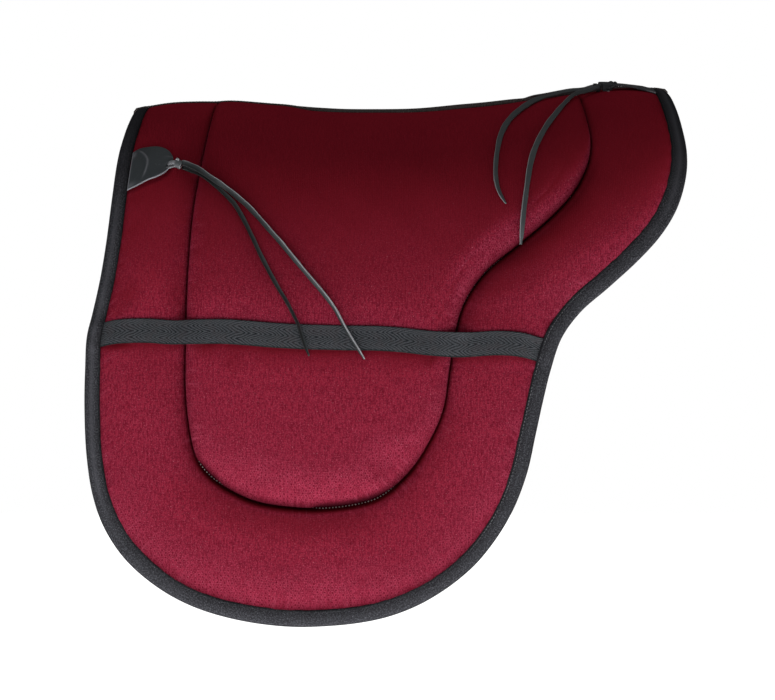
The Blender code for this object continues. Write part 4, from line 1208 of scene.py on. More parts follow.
# -------------------------------------------------------------- thread stitch
def stitch_run(name, pts, nrm, pitch, length, radius, mat, rise=0.25 * MM, thread_lit=None):
    """A row of separate short stitches along a line of points with normals."""
    pts = np.asarray(pts, float)
    nrm = np.asarray(nrm, float)
    acc = arc(pts)
    n = int(acc[-1] / pitch)
    mids = (np.arange(n) + 0.5) * pitch
    seg, sides = 5, 6
    verts, faces, uvs, shown = [], [], [], []
    tt = np.linspace(-0.5, 0.5, seg)
    for q, d in enumerate(mids):
        base = at(pts, acc, d + tt * length)
        nn = at(nrm, acc, np.full(seg, d))
        nn /= np.linalg.norm(nn, axis=1, keepdims=True)
        tan = base[-1] - base[0]
        tan /= max(np.linalg.norm(tan), 1e-9)
        across = np.cross(nn[0], tan)
        ends = 1 - (2 * np.abs(tt)) ** 3
        c = base + nn * (rise * ends - 0.25 * radius)[:, None]
        rad = radius * (0.45 + 0.55 * np.sqrt(np.clip(1 - (2 * np.abs(tt)) ** 2 * 0.96, 0, 1)))
        o = len(verts)
        # 1 where the thread is lit, less where its shade is painted
        show = 1.0 if thread_lit is None else float(np.interp(d, acc, thread_lit))
        for i in range(seg):
            for k in range(sides):
                a = 2 * pi * k / sides
                verts.append(c[i] + (across * cos(a) + nn[i] * sin(a) * 0.85) * rad[i])
                uvs.append((d + tt[i] * length, k / sides * 0.002))
                shown.append(show)
        for i in range(seg - 1):
            for k in range(sides):
                a0, a1 = o + i * sides + k, o + i * sides + (k + 1) % sides
                faces.append([a0, a1, a1 + sides, a0 + sides])
        faces.append([o + k for k in range(sides)][::-1])
        faces.append([o + (seg - 1) * sides + k for k in range(sides)])
    # settle the winding from the first tube's side face
    v = np.array(verts)
    f0 = faces[0]
    cen = v[:seg * sides].mean(0)
    c = np.cross(v[f0[1]] - v[f0[0]], v[f0[2]] - v[f0[1]])
    if np.dot(c, v[f0[0]] - (v[:sides].mean(0))) < 0:
        faces = [f[::-1] for f in faces]
    return mesh_object(name, v, faces, uv=np.array(uvs), attrs={"thread_lit": shown}, mat=mat)


# ---------------------------------------------------------------- the strap
def soft_cover(raw, spacing, reach, soften):
    """Smooth line that never dips below raw by much: what lies over it."""
    n = max(int(reach / spacing), 1)
    up = np.array([raw[max(i - n, 0):i + n + 1].max() for i in range(len(raw))])
    k = np.exp(-0.5 * (np.arange(-3 * soften, 3 * soften + 1) / max(soften, 1)) ** 2)
    up = np.convolve(np.pad(up, 3 * soften, mode='edge'), k / k.sum(), mode='valid')
    return np.maximum(up, raw)


def closed_sheet(v, n, m, normal):
    """Faces of a closed sheet from two n x m point grids, upper one first."""
    N = n * m
    fo = grid_faces(n, m)
    fi = fo[:, ::-1] + N
    ring = [i * m for i in range(n)] + [(n - 1) * m + k for k in range(1, m)] \
        + [i * m + m - 1 for i in range(n - 2, -1, -1)] + [k for k in range(m - 2, 0, -1)]
    rim = np.array([[a, b, b + N, a + N] for a, b in zip(ring, ring[1:] + ring[:1])])
    q = fo[len(fo) // 2]
    e1, e2 = v[q[1]] - v[q[0]], v[q[2]] - v[q[1]]
    if np.dot(np.cross(e1, e2), normal) < 0:
        fo, fi = fo[:, ::-1], fi[:, ::-1]
    edge = set()
    for f in fo:
        f = list(f)
        for a, b in zip(f, f[1:] + f[:1]):
            edge.add((a, b))
    if (ring[0], ring[1]) in edge:
        rim = rim[:, ::-1]
    return np.vstack([fo, fi, rim])


def build_strap(name, side, trees):
    n, m = 760, 48
    half = 12.7 * MM
    f = np.linspace(0, 1, n)[:, None]
    w = np.linspace(-half, half, m)[None, :]
    # each thread runs from edge to edge, so both ends are cut to the line of the binding
    s_front, s_rear = 0.3122, 0.3385
    xf = side_x(s_front + w)[0] + 8.5 * MM
    xr = side_x(s_rear + w)[1] - 9.5 * MM
    X = xf + (xr - xf) * f
    S = strap_s(X) + w + 0.2 * MM * np.sin(X / 0.019)
    mid = X[:, m // 2]
    coarse = np.unique(np.concatenate([np.arange(0, 60, 4), np.arange(60, n - 60, 7), np.arange(n - 60, n, 4), [n - 1]]))
    raw = np.array([max(surface_h(trees, side, X[i, j], S[i, j]) for j in (1, 11, 23, 36, m - 2)) for i in coarse])
    raw = np.interp(np.arange(n), coarse, raw)
    dist = edge_distance(mid, S[:, m // 2])
    step = (mid[-1] - mid[0]) / (n - 1)
    lift = soft_cover(raw, step, 9 * MM, 9)
    # near the ends it keeps to the cloth and goes under the binding
    near = 1 - smoothstep(24 * MM, 42 * MM, dist)
    k = np.ones(9) / 9
    low = np.convolve(np.pad(raw, 4, mode='edge'), k, mode='valid')
    lift = lift * (1 - near) + np.maximum(low, raw) * near
    lift = np.where(dist < 18 * MM, np.minimum(lift, 9.5 * MM), lift) + 0.30 * MM
    lift = np.convolve(np.pad(lift, 6, mode='edge'), np.ones(13) / 13, mode='valid')
    lift = np.maximum(lift, raw + 0.12 * MM)
    t = 1.45 * MM
    colw = 25.4 * MM / 4
    q = (w + half) / colw
    zig = 1 - np.abs((q % 2) - 1)
    uneven = 0.25 * np.sin(X / 0.017 + 2.0 * np.sin(X / 0.006)) + 0.18 * np.sin(w / 0.0021 + X / 0.009)
    phase = (X - xf) / (5.3 * MM) + zig * 2.6 + uneven
    ribv = 0.5 + 0.5 * np.sin(2 * pi * phase)
    ribv = ribv ** 0.75
    seam = np.abs((q % 1) - 0.5) * 2           # 1 at the turn of each chevron
    ribv = ribv * (1 - 0.25 * smoothstep(0.86, 1.0, seam))
    er = np.clip((np.abs(w) - (half - 0.9 * MM)) / (0.9 * MM), 0, 1)
    edge_round = np.sqrt(1 - er ** 2 * 0.98)
    cup = (0.35 * MM * np.sin(X / 0.042 + 1.3) * (w / half))
    Hc = lift[:, None] + np.maximum(cup, 0)
    top = skin(side, X, S, Hc + 0.35 * t + 0.65 * t * edge_round + 0.22 * MM * ribv * edge_round)
    low_ = skin(side, X, S, Hc + 0.35 * t - 0.35 * t * edge_round)
    v = np.vstack([top.reshape(-1, 3), low_.reshape(-1, 3)])
    N = n * m
    faces = closed_sheet(v, n, m, skin_normal(side, S[0, 0]))
    uv = np.stack(np.broadcast_arrays(X - xf, w), axis=-1).reshape(-1, 2)
    broken = smoothstep(-0.45, 0.55, wobble(X * 1.0, S * 1.6, 0.011, 0.9) + 0.5 * wobble(X, S, 0.004, 2.4))
    # painted shadow along the strap's lower edge
    low_edge_shade = 1 - 0.55 * smoothstep(half - 1.3 * MM, half - 0.2 * MM, w + 0 * X)
    bands = 0.07 * np.cos(2 * pi * w / (2 * half)) * -1 + 0 * X
    low_edge_shadow = 1 - 0.95 * smoothstep(half - 1.7 * MM, half - 0.5 * MM, w + 0 * X)
    rib_attr = np.concatenate([((0.50 + bands + (ribv - 0.45) * (0.60 + 0.95 * broken)) * low_edge_shade * low_edge_shadow).ravel(),
                               np.full(N, 0.3)])
    # painted shade towards the strap's ends, where they go under the binding
    shade = 1 - smoothstep(13 * MM, 22 * MM, edge_distance(X, S))
    sh = np.concatenate([shade.ravel(), shade.ravel()])
    ob = mesh_object(name, v, faces, uv=np.vstack([uv, uv]), attrs={"rib": rib_attr, "painted_shading": sh}, mat=M_WEB)
    return ob, None


# ----------------------------------------------------------- leather patches
def build_patch(name, side, up, lo, trees, curl, rise=0.0, shine=1.0):
    """Rounded leather tab: sewn along its straight end, drawn together at its slit tip."""
    n, m = 80, 56
    u = smooth_path(up, 30)
    l = smooth_path(lo, 30)
    t = np.linspace(0, 1, n)
    au, al = arc(u), arc(l)
    u = at(u, au / au[-1], t)
    l = at(l, al / al[-1], t)
    v = np.linspace(0, 1, m)[None, :]
    PX = u[:, :1] * (1 - v) + l[:, :1] * v
    PS = u[:, 1:] * (1 - v) + l[:, 1:] * v
    direction = 1.0 if up[-1][0] > up[0][0] else -1.0
    along = t[:, None]
    PX = PX + direction * (1 - (2 * v - 1) ** 2) * 1.2 * MM * smoothstep(0.82, 1.0, along)
    ci = np.linspace(0, n - 1, 13).astype(int)
    cj = np.linspace(0, m - 1, 9).astype(int)
    raw = np.array([[surface_h(trees, side, PX[i, j], PS[i, j]) for j in cj] for i in ci])
    for _ in range(2):
        pad = np.pad(raw, 1, mode='edge')
        soft = (pad[:-2, 1:-1] + pad[2:, 1:-1] + pad[1:-1, :-2] + pad[1:-1, 2:] + 4 * pad[1:-1, 1:-1]) / 8
        raw = np.maximum(raw, soft)
    tmp = np.stack([np.interp(np.arange(n), ci, raw[:, b]) for b in range(len(cj))], axis=1)
    hs = np.stack([np.interp(np.arange(m), cj, tmp[i]) for i in range(n)])
    wide = np.linalg.norm(l - u, axis=1)[:, None]
    free = smoothstep(0.10, 0.5, along)
    curl_h = curl * smoothstep(0.66, 1.0, v) * free + 0.35 * curl * smoothstep(0.3, 0.0, v) * free
    # soft fold left by bending, bowed towards the tip
    cx = along - (0.365 - np.where(v < 0.47, 1.35, 0.5) * (v - 0.47) ** 2)
    amp = smoothstep(0.02, 0.16, v) * (1 - smoothstep(0.72, 0.92, v))
    fold = (0.75 * MM * np.exp(-(cx / 0.028) ** 2) - 0.75 * MM * np.exp(-((cx + 0.10) / 0.08) ** 2)) * amp
    # gathers towards the slit
    g = smoothstep(0.66, 1.0, along)
    gather = 0.45 * MM * g * np.sin(2 * pi * (v * 3.2 + 0.25 * np.sin(along * 9))) * (1 - np.abs(2 * v - 1) ** 3)
    slit = np.exp(-(((along - 0.87) / 0.080) ** 2 + ((v - 0.76) / 0.095) ** 2) ** 2)
    hs = hs + rise * smoothstep(0.10, 0.95, along) + 0.30 * MM + curl_h + fold + gather + 0.55 * MM * np.sin(pi * v) * free - 0.9 * MM * slit
    th = 1.9 * MM
    du = np.minimum(v, 1 - v) * wide
    de = np.minimum(1 - along, along) * abs(up[-1][0] - up[0][0]) * MM * 1.05
    dd = np.minimum(du, de)
    rnd = np.sqrt(np.clip(1 - (1 - np.clip(dd / (0.8 * MM), 0, 1)) ** 2, 0, 1))
    top = skin(side, PX, PS, hs + th * 0.5 + th * 0.5 * (0.4 + 0.6 * rnd))
    low = skin(side, PX, PS, hs + th * 0.5 - th * 0.5 * (0.4 + 0.6 * rnd))
    vts = np.vstack([top.reshape(-1, 3), low.reshape(-1, 3)])
    faces = closed_sheet(vts, n, m, skin_normal(side, PS[n // 2, m // 2]))
    lower = (1 - v) * wide
    pale = 1 - smoothstep(0.5 * MM, 1.7 * MM, lower + 0 * along)
    start = 1 - smoothstep(0.3 * MM, 1.3 * MM, along * abs(up[-1][0] - up[0][0]) * MM + 0 * v)
    upper = 0.35 * (1 - smoothstep(0.2 * MM, 0.9 * MM, v * wide))
    # painted highlight along the crest of the fold
    ridge = 0.5 * np.exp(-((cx - 0.004) / 0.020) ** 2) * amp
    # painted highlight on the crests of the gathers by the slit
    painted_shading = 0.5 * g * np.clip(np.sin(2 * pi * (v * 3.2 + 0.25 * np.sin(along * 9))), 0, 1) ** 2 * (1 - np.abs(2 * v - 1))
    # painted highlights at the two corners by the sewn end
    corner = 0.55 * np.exp(-((along - 0.03) / 0.06) ** 2 - ((v - 0.13) / 0.09) ** 2) \
        + 0.45 * np.exp(-((along - 0.05) / 0.09) ** 2 - ((v - 0.92) / 0.07) ** 2)
    end = 0.55 * smoothstep(0.975, 0.995, along) * (1 - smoothstep(0.35, 0.55, v))
    mark = np.clip(np.maximum.reduce([pale * (shine + (1 - shine) * smoothstep(0.30, 0.06, along)), 0.95 * start * shine,
                                      upper * shine, ridge * shine, painted_shading * shine, end * shine, corner * shine]), 0, 1)
    attr = np.concatenate([mark.ravel(), (0.4 * pale + 0 * mark).ravel()])
    # painted shade: the leather close to the spine, which faces up away from the light, is darkened, and so is the slit
    dim = 0.45 * (1 - smoothstep(0.080, 0.130, PS)) * (1 - mark)
    dark = np.concatenate([np.maximum(slit, dim).ravel(), (0 * slit + 0.45 * (1 - smoothstep(0.080, 0.130, PS))).ravel()])
    uv = np.stack([PX.ravel(), PS.ravel()], axis=-1)
    return mesh_object(name, vts, faces, uv=np.vstack([uv, uv]), attrs={"edge": attr, "painted_dark_shade": dark}, mat=M_LEATHER)


# --------------------------------------------------------------------- thongs
def thong_section(w, t, m=16):
    """Rounded flat strip section, counter-clockwise, unit axes (across, up)."""
    a = np.linspace(0, 2 * pi, m, endpoint=False) + pi / m
    ex = 0.38
    x = np.sign(np.cos(a)) * np.abs(np.cos(a)) ** ex * w / 2
    y = np.sign(np.sin(a)) * np.abs(np.sin(a)) ** ex * t / 2
    return x, y


def strip_along(name, pts, ups, widths, thick, twist, mat, pale_sign=1.0, pale=1.0, m=24, pale_from=0.80, shadow=0.0):
    pts = np.asarray(pts, float)
    n = len(pts)
    tan = np.gradient(pts, axis=0)
    tan /= np.linalg.norm(tan, axis=1, keepdims=True)
    ups = ups - (ups * tan).sum(1, keepdims=True) * tan
    ups /= np.linalg.norm(ups, axis=1, keepdims=True)
    across = np.cross(tan, ups)
    rings, edge, dim = [], [], []
    for i in range(n):
        c, s = cos(twist[i]), sin(twist[i])
        ax = across[i] * c + ups[i] * s
        uy = -across[i] * s + ups[i] * c
        x, y = thong_section(widths[i], thick[i], m)
        rings.append(pts[i] + x[:, None] * ax + y[:, None] * uy)
        q = x / (widths[i] / 2)
        # pale edge: the raw cut edge with a painted highlight along it; dim: painted shadow on the lower side
        edge.append(smoothstep(pale_from, pale_from + 0.18, q * pale_sign) * pale
                    + smoothstep(0.88, 1.0, -q * pale_sign) * 0.20 * pale)
        dim.append(shadow * smoothstep(0.55, -0.1, q * pale_sign))
    acc = arc(pts)
    per = np.linspace(0, 0.012, m)
    uv = np.stack(np.broadcast_arrays(acc[:, None], per[None, :]), axis=-1)
    ob = loft(name, np.stack(rings), mat, uv=uv,
              attrs={"edge": np.concatenate(edge), "painted_dark_shade": np.concatenate(dim)}, flip=True)
    return ob


def lace_line(points, side, trees, step=2.2 * MM):
    path = smooth_path(points)
    acc = arc(path)
    n = int(acc[-1] / step) + 1
    d = np.linspace(0, acc[-1], n)
    p = at(path, acc, d)
    raw = np.array([max(surface_h(trees, side, q[0] + dx, q[1] + dy)
                        for dx, dy in ((0, 0), (-2.2 * MM, 0), (2.2 * MM, 0), (0, -2.2 * MM), (0, 2.2 * MM)))
                    for q in p])
    lift = soft_cover(raw, step, 5 * MM, 2)
    return p, d, lift


def build_lace(name, side, points, trees, widths, twist, over, pale_sign=1.0, pale=1.0, pale_from=0.80, shadow=0.0):
    p, d, lift = lace_line(points, side, trees)
    t = d / d[-1]
    w = np.interp(t, np.linspace(0, 1, len(widths)), widths) * MM
    k5 = np.ones(7) / 7
    w = np.convolve(np.pad(w, 3, mode='edge'), k5, mode='valid')
    w = w * (1 - 0.52 * smoothstep(0.955, 1.0, t))
    w = w * (1 + 0.05 * np.sin(d / 0.0105) + 0.04 * np.sin(d / 0.0037 + 1.0))
    th = np.full(len(p), 2.1 * MM) * (1 - 0.25 * smoothstep(0.9, 1.0, t))
    tw = np.interp(t, np.linspace(0, 1, len(twist)), twist) + 0.07 * np.sin(d / 0.014)
    need = 0.5 * (np.abs(np.cos(tw)) * th + np.abs(np.sin(tw)) * w)
    lift = lift + need + 0.2 * MM + np.interp(t, [0, 0.06, 0.16, 0.30, 1.0], np.array(over) * MM)
    k = np.array([1, 2, 3, 2, 1]) / 9.0
    lift = np.convolve(np.pad(lift, 2, mode='edge'), k, mode='valid')
    pts = skin(side, p[:, 0], p[:, 1], lift)
    ups = skin_normal(side, p[:, 1])
    ob = strip_along(name, pts, ups, w, th, tw * side * -1, M_LACE, pale_sign * -side, pale,
                     pale_from=pale_from, shadow=shadow)
    return ob, pts


def build_knot(name, side, at_mm, tip_mm, laces, trees, size=1.0, raised=3.1, turns=((0.0, 4.1, 2.6, 7.8, 0.5),),
               shine=1.0, stub=False):
    """A thong doubled through the slit, with a turn of leather drawn tight round its tails."""
    x, s = at_mm[0] * MM, at_mm[1] * MM
    tx, ts = tip_mm[0] * MM, tip_mm[1] * MM
    starts = np.array([q[2] for q in laces])
    mid = starts.mean(0)
    h0 = max(surface_h(trees, side, x + a, s + b) for a in (-3 * MM, 0, 3 * MM) for b in (-3 * MM, 0, 3 * MM))
    up = skin_normal(side, s)
    c = skin(side, x, s, h0 + raised * MM * size)
    axis = np.array(laces[0][6]) - c
    axis = axis - up * np.dot(axis, up)
    axis /= np.linalg.norm(axis)
    across = np.cross(axis, up)
    verts, faces, edges, uvs = [], [], [], []

    def strip(points, normals, w, th, closed=False, m=14, pale=0.8, face=0.0, tip=0.0):
        points = np.asarray(points)
        n = len(points)
        w = np.broadcast_to(w, n)
        if closed:
            tan = np.roll(points, -1, axis=0) - np.roll(points, 1, axis=0)
        else:
            tan = np.gradient(points, axis=0)
        tan /= np.linalg.norm(tan, axis=1, keepdims=True)
        nn = normals - (normals * tan).sum(1, keepdims=True) * tan
        nn /= np.linalg.norm(nn, axis=1, keepdims=True)
        ac = np.cross(tan, nn)
        o = len(verts)
        for i in range(n):
            sx, sy = thong_section(w[i], th, m)
            for a in range(m):
                verts.append(points[i] + sx[a] * ac[i] + sy[a] * nn[i])
                # pale: raw edges with a painted highlight; face: a painted highlight over the whole strip; tip: the
                # pale cut end
                e = max(float(smoothstep(0.7, 0.95, abs(sx[a]) / (w[i] / 2))) * pale, face)
                edges.append(max(e, tip if i >= n - 2 else 0.0))
                uvs.append((i * 0.001, a * 0.001))
        last = n if closed else n - 1
        for i in range(last):
            for a in range(m):
                p0 = o + i * m + a
                p1 = o + i * m + (a + 1) % m
                q0 = o + ((i + 1) % n) * m + a
                q1 = o + ((i + 1) % n) * m + (a + 1) % m
                faces.append([p1, p0, q0, q1])
        if not closed:
            faces.append([o + a for a in range(m)])
            faces.append([o + (n - 1) * m + a for a in range(m)][::-1])

    # the turn round the tails: a wide flattened band
    a = np.linspace(0, 2 * pi, 48, endpoint=False)
    sq = lambda v, e: np.sign(v) * np.abs(v) ** e
    for off, wide, tall, long, tilt in turns:
        cc = c + axis * off * MM * size
        ring = [cc + across * wide * MM * size * sq(cos(q), 0.85) + up * tall * MM * size * sq(sin(q), 0.9)
                + axis * (tilt * MM * sin(q + 0.6)) for q in a]
        out = [across * cos(q) * 0.7 + up * sin(q) for q in a]
        strip(ring, np.array(out), long * MM * size, 1.7 * MM, closed=True, pale=0.55 * shine, face=0.16 * shine)
    # its loose end stands up as a small eye
    eye_c = c - across * 2.6 * MM * size * side * -1 + up * 3.2 * MM * size - axis * 2.4 * MM * size
    ring2 = [eye_c + axis * 1.5 * MM * size * cos(q) + up * 1.5 * MM * size * sin(q) for q in a[::2]]
    out2 = [axis * cos(q) + up * sin(q) for q in a[::2]]
    if not stub:
        strip(ring2, np.array(out2), 2.2 * MM * size, 1.2 * MM, closed=True, m=10, pale=1.0 * shine, face=0.5 * shine)
    # the bight: out of the slit in the tip, over, and back into the turn; a stout fold of leather above, a thinner one below
    slit = skin(side, tx, ts, surface_h(trees, side, tx, ts) + 0.4 * MM)
    spine_way = 1.0 if np.dot(across, skin(side, x, s - 0.002, 0.0) - skin(side, x, s, 0.0)) > 0 else -1.0
    for sg, wd, th, lift_up, face in ((1, 4.4, 3.4, 2.6, 0.50), (-1, 2.4, 2.4, 0.4, 0.30)):
        sgn = sg * spine_way
        p0 = slit + across * sgn * (0.2 if sg > 0 else 6.2) * MM * size - up * 0.4 * MM
        p3 = c + across * sgn * (0.6 if sg > 0 else 2.2) * MM * size + up * (0.4 * MM) - axis * 0.6 * MM
        p1 = p0 + up * (lift_up + 0.6 - 1.5 * stub) * MM * size + axis * 1.6 * MM
        p2 = c - axis * 5.0 * MM * size + across * sgn * (0.5 if sg > 0 else 6.6) * MM * size + up * lift_up * 0.5 * MM * size
        t = np.linspace(0, 1, 26)[:, None]
        pts = p0 * (1 - t) ** 3 + 3 * p1 * t * (1 - t) ** 2 + 3 * p2 * t * t * (1 - t) + p3 * t ** 3
        tn = np.gradient(pts, axis=0)
        nrm = np.cross(np.cross(tn, np.tile(up, (26, 1))), tn)
        wav = 1 + 0.10 * np.sin(np.arange(26) * 1.5) + 0.06 * np.sin(np.arange(26) * 2.9)
        strip(pts, nrm, wd * MM * size * wav, th * MM * size * 0.8, pale=0.5 * shine, face=face * shine)
    if stub:
        # the cut end of the thong sticks out beside the turn
        p0 = c + axis * 1.0 * MM * size - up * 1.8 * MM * size - across * spine_way * 3.0 * MM * size
        q0 = c - axis * 3.4 * MM * size - up * 2.4 * MM * size - across * spine_way * 7.2 * MM * size
        t = np.linspace(0, 1, 12)[:, None]
        pts = p0 * (1 - t) + q0 * t + up * 0.8 * MM * np.sin(pi * t)
        strip(pts, np.tile(up, (12, 1)), np.full(12, 3.4 * MM), 2.2 * MM, pale=0.1, face=0.0, tip=1.0)
    # the rear knot is darkened as painted shade
    ob = mesh_object(name, np.array(verts), faces, uv=np.array(uvs),
                     attrs={"edge": np.array(edges), "painted_dark_shade": (0.45 if stub else 0.0) * (1 - np.array(edges))}, mat=M_LACE)
    return ob


# ------------------------------------------------------------------ the halves
def bend_with(ob):
    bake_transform(ob)


def line3(side, line, h):
    return skin(side, line[:, 0], line[:, 1], h)


def build_half(label, side):
    body = label + "_half"
    # painted shade on the cover: in and beside the channel, along the binding, round the thongs and below the front
    # patch
    painted_shade = np.zeros((N_COL, NST))
    low_part = smoothstep(0.30, 0.47, RING_P[:, 1])
    rear_shade_zone = (np.arange(NST) > NST // 2) * smoothstep(0.12, 0.17, RING_P[:, 1]) * (1 - smoothstep(0.25, 0.34, RING_P[:, 1]))
    for k in range(len(CH_D)):
        edge = CH_CREASE_SHADE[k] * smoothstep(0.010, 0.040, LAY_P[3 + RIM_COLS + k][:, 1]) \
            * (1 - 0.75 * open_seam(LAY_P[3 + RIM_COLS + k][:, 0], LAY_P[3 + RIM_COLS + k][:, 1]))
        lower = low_part if k < 5 else 0.45 * low_part + 0.55 * smoothstep(0.425, 0.468, RING_P[:, 1])
        soft = CH_SHADE[k] * (0.06 + 0.94 * lower) * smoothstep(0.02, 0.12, RING_P[:, 1])
        side_shade = rear_shade_zone * (0.52 if k < 3 else 0.62 if k < 18 else REAR_LIP_SHADE[k - 18])
        painted_shade[3 + RIM_COLS + k] = 1 - (1 - edge) * (1 - np.maximum(soft, side_shade))
    gap_w = np.linalg.norm(LIP_LINE - BIND_LINE, axis=1)
    # painted light along the rear hem
    hem_light = np.zeros((N_COL, NST))
    rear_hem = (np.arange(NST) > NST // 2) * smoothstep(0.06, 0.12, EDGE_P[:, 1]) * (1 - smoothstep(0.24, 0.33, EDGE_P[:, 1]))
    for k in range(RIM_COLS):
        away = gap_w * (1 - RIM_T_AT[k])
        hem = gap_w * RIM_T_AT[k]
        hem_light[3 + k] = rear_hem * np.exp(-hem / (14 * MM))
        # painted shade beside the channel and along the binding, strongest where the binding turns under at the hem
        under = smoothstep(0.35, 0.85, -EDGE_N[:, 1]) * smoothstep(0.44, 0.54, EDGE_P[:, 1])
        painted_shade[3 + k] = 0.22 * np.exp(-away / (15 * MM)) * low_part + 0.03 * np.exp(-away / (5 * MM)) * (1 - low_part) \
            + under * (0.80 * np.exp(-(hem / (6.5 * MM)) ** 1.5) + 0.12 * np.exp(-hem / (20 * MM))) \
            + (1 - under) * 0.35 * np.exp(-(hem / (3.6 * MM)) ** 2)
        # painted shade on the rear rim beside the channel
        painted_shade[3 + k] = 1 - (1 - painted_shade[3 + k]) * (1 - rear_shade_zone * (0.26 * np.exp(-away / (15 * MM)) + 0.28 * np.exp(-away / (4 * MM))))
        painted_shade[3 + k] = np.minimum(np.maximum.reduce([painted_shade[3 + k], lace_shade(LAY_P[3 + k]), patch_shade(LAY_P[3 + k])]), 0.95)
    for k in range(len(CH_D)):
        q = 3 + RIM_COLS + k
        painted_shade[q] = np.maximum(painted_shade[q], lace_shade(LAY_P[q]))
    painted_shade_q = lace_shade(LAY_Q)
    cover = shell_object(label + "_cover_cloth", side, LAY_P, LAY_Q, (COV_H, COV_HQ),
                         (COV_H - 1.6 * MM, COV_HQ - 1.6 * MM), M_COVER,
                         attrs={"painted_shade": (painted_shade, painted_shade_q), "run": (np.tile(STITCH_WAVE, (N_COL, 1)), 0 * COV_HQ),
                                "near": pleat_shading_weight(), "hem": (hem_light, 0 * COV_HQ)}, uvs=cloth_uv())
    lit_facing_attributes(cover)
    binding = build_binding(label + "_edge_binding", side)
    ct = tree_of(cover)
    strap, _ = build_strap(label + "_keeper_strap", side, ct)
    fp = build_patch(label + "_front_tie_patch", side, FRONT_UP, FRONT_LO, ct, 1.2 * MM)
    rp = build_patch(label + "_rear_tie_patch", side, REAR_UP, REAR_LO, ct, 0.5 * MM, 4.0 * MM, 0.15)
    under = ct + tree_of(strap)
    fb, fb_pts = build_lace(label + "_front_thong_b", side, FRONT_LACE_B, under,
                            [4.6, 4.8, 4.8, 4.6, 4.4, 4.1, 3.7, 3.2], [0.15, 0.2, 0.3, 0.35, 0.3, 0.4, 0.9, 0.5],
                            [0.8, 0.5, 0.1, 0.0, 0.0], -1.0, 0.05, 0.80, 0.85)
    fa, fa_pts = build_lace(label + "_front_thong_a", side, FRONT_LACE_A, under + tree_of(fb),
                            [5.4, 5.6, 5.4, 5.2, 5.0, 4.6, 4.0, 3.4],
                            [-0.45, -0.45, -0.50, -0.58, -0.70, -0.82, -0.90, -0.95],
                            [1.6, 0.9, 0.3, 0.0, 0.0], -1.0, 0.92, 0.70, 0.72)
    ra, ra_pts = build_lace(label + "_rear_thong_a", side, REAR_LACE_A, under,
                            [5.6, 6.2, 6.8, 6.6, 6.0, 5.4, 5.0, 3.6], [0.1, 0.2, 0.30, 0.25, 0.3, 0.35, 0.4, 0.4],
                            [3.6, 2.8, 1.6, 0.2, 0.0], 1.0, 0.30)
    rb, rb_pts = build_lace(label + "_rear_thong_b", side, REAR_LACE_B, under,
                            [4.4, 4.4, 5.0, 6.0, 6.0, 5.6, 5.6, 4.2], [0.6, 0.6, 0.5, 0.35, 0.3, 0.35, 0.4, 0.4],
                            [3.6, 2.6, 0.8, 0.0, 0.0], 1.0, 0.60)
    tree_p = ct + tree_of(fp)
    fkn = build_knot(label + "_front_tie_knot", side, FRONT_KNOT, (-231.5, 133.0), (fa_pts, fb_pts), tree_p)
    tree_r = ct + tree_of(rp)
    rkn = build_knot(label + "_rear_tie_knot", side, REAR_KNOT, (255.0, 20.5), (ra_pts, rb_pts), tree_r, 1.3,
                     raised=1.9, turns=((-2.2, 3.5, 4.4, 8.6, 0.2), (5.4, 2.9, 2.9, 3.4, -0.5)), shine=0.10, stub=True)

    # lining: neoprene, drawn up a little along the sewn channel
    HL = np.zeros((N_COL, NST))
    for k in range(N_COL):
        if k >= 3 + RIM_COLS:
            HL[k] = 1.5 * MM * np.exp(-(CH_D[k - 3 - RIM_COLS] / (3.0 * MM)) ** 2)
        HL[k] += 0.15 * MM * wobble(LAY_P[k][:, 0], LAY_P[k][:, 1], 0.05, 3.0) * (1 if k >= 3 else 0)
    HQL = 0.15 * MM * wobble(LAY_Q[..., 0], LAY_Q[..., 1], 0.05, 3.0)
    flat_p, flat_h = LAY_P.copy(), HL.copy()
    for k in range(len(CH_D)):
        q = 3 + RIM_COLS + k
        if 0 < k < len(CH_D) - 1:
            flat_p[q] = ring_line(CH_OPEN[k])
            flat_h[q] += 1.5 * MM * (exp(-(CH_OPEN[k] / (3.0 * MM)) ** 2) - exp(-(CH_D[k] / (3.0 * MM)) ** 2))
    lining = shell_object(label + "_neoprene_lining", side, flat_p, LAY_Q, (flat_h + 1.9 * MM, HQL + 1.9 * MM),
                          (flat_h, HQL), M_LINING)

    # foam layers, between lining and cover
    core = foam_layer(label + "_core_sheet", side, M_CORE, HL, HQL, True)
    insert = foam_layer(label + "_insert_slab", side, M_INSERT, HL, HQL, False)

    # stitching
    gape = open_seam(RING_P[:, 0], RING_P[:, 1])
    seam = RING_P + RING_N * ((0.2 - 0.7 * gape) * MM)[:, None]
    seam_h = FLAT_H - (FLAT_H - (4.9 + 0.9 * gape) * MM) * fade_dip(RING_P[:, 1]) + crown(seam[:, 0], seam[:, 1])
    # the channel thread is painted dark as shade except where the seam gapes
    ch = stitch_run(label + "_channel_stitching", skin(side, seam[:, 0], seam[:, 1], seam_h),
                    skin_normal(side, RING_P[:, 1]), 3.4 * MM, 1.5 * MM, 0.63 * MM, M_THREAD_RED, 0.52 * MM,
                    thread_lit=gape)
    bs_line = edge_line(14.9 * MM)
    lift = LIFT * smoothstep(1.0 * MM, 6.0 * MM, 14.9 * MM)
    lift = lift + crown(bs_line[:, 0], bs_line[:, 1])
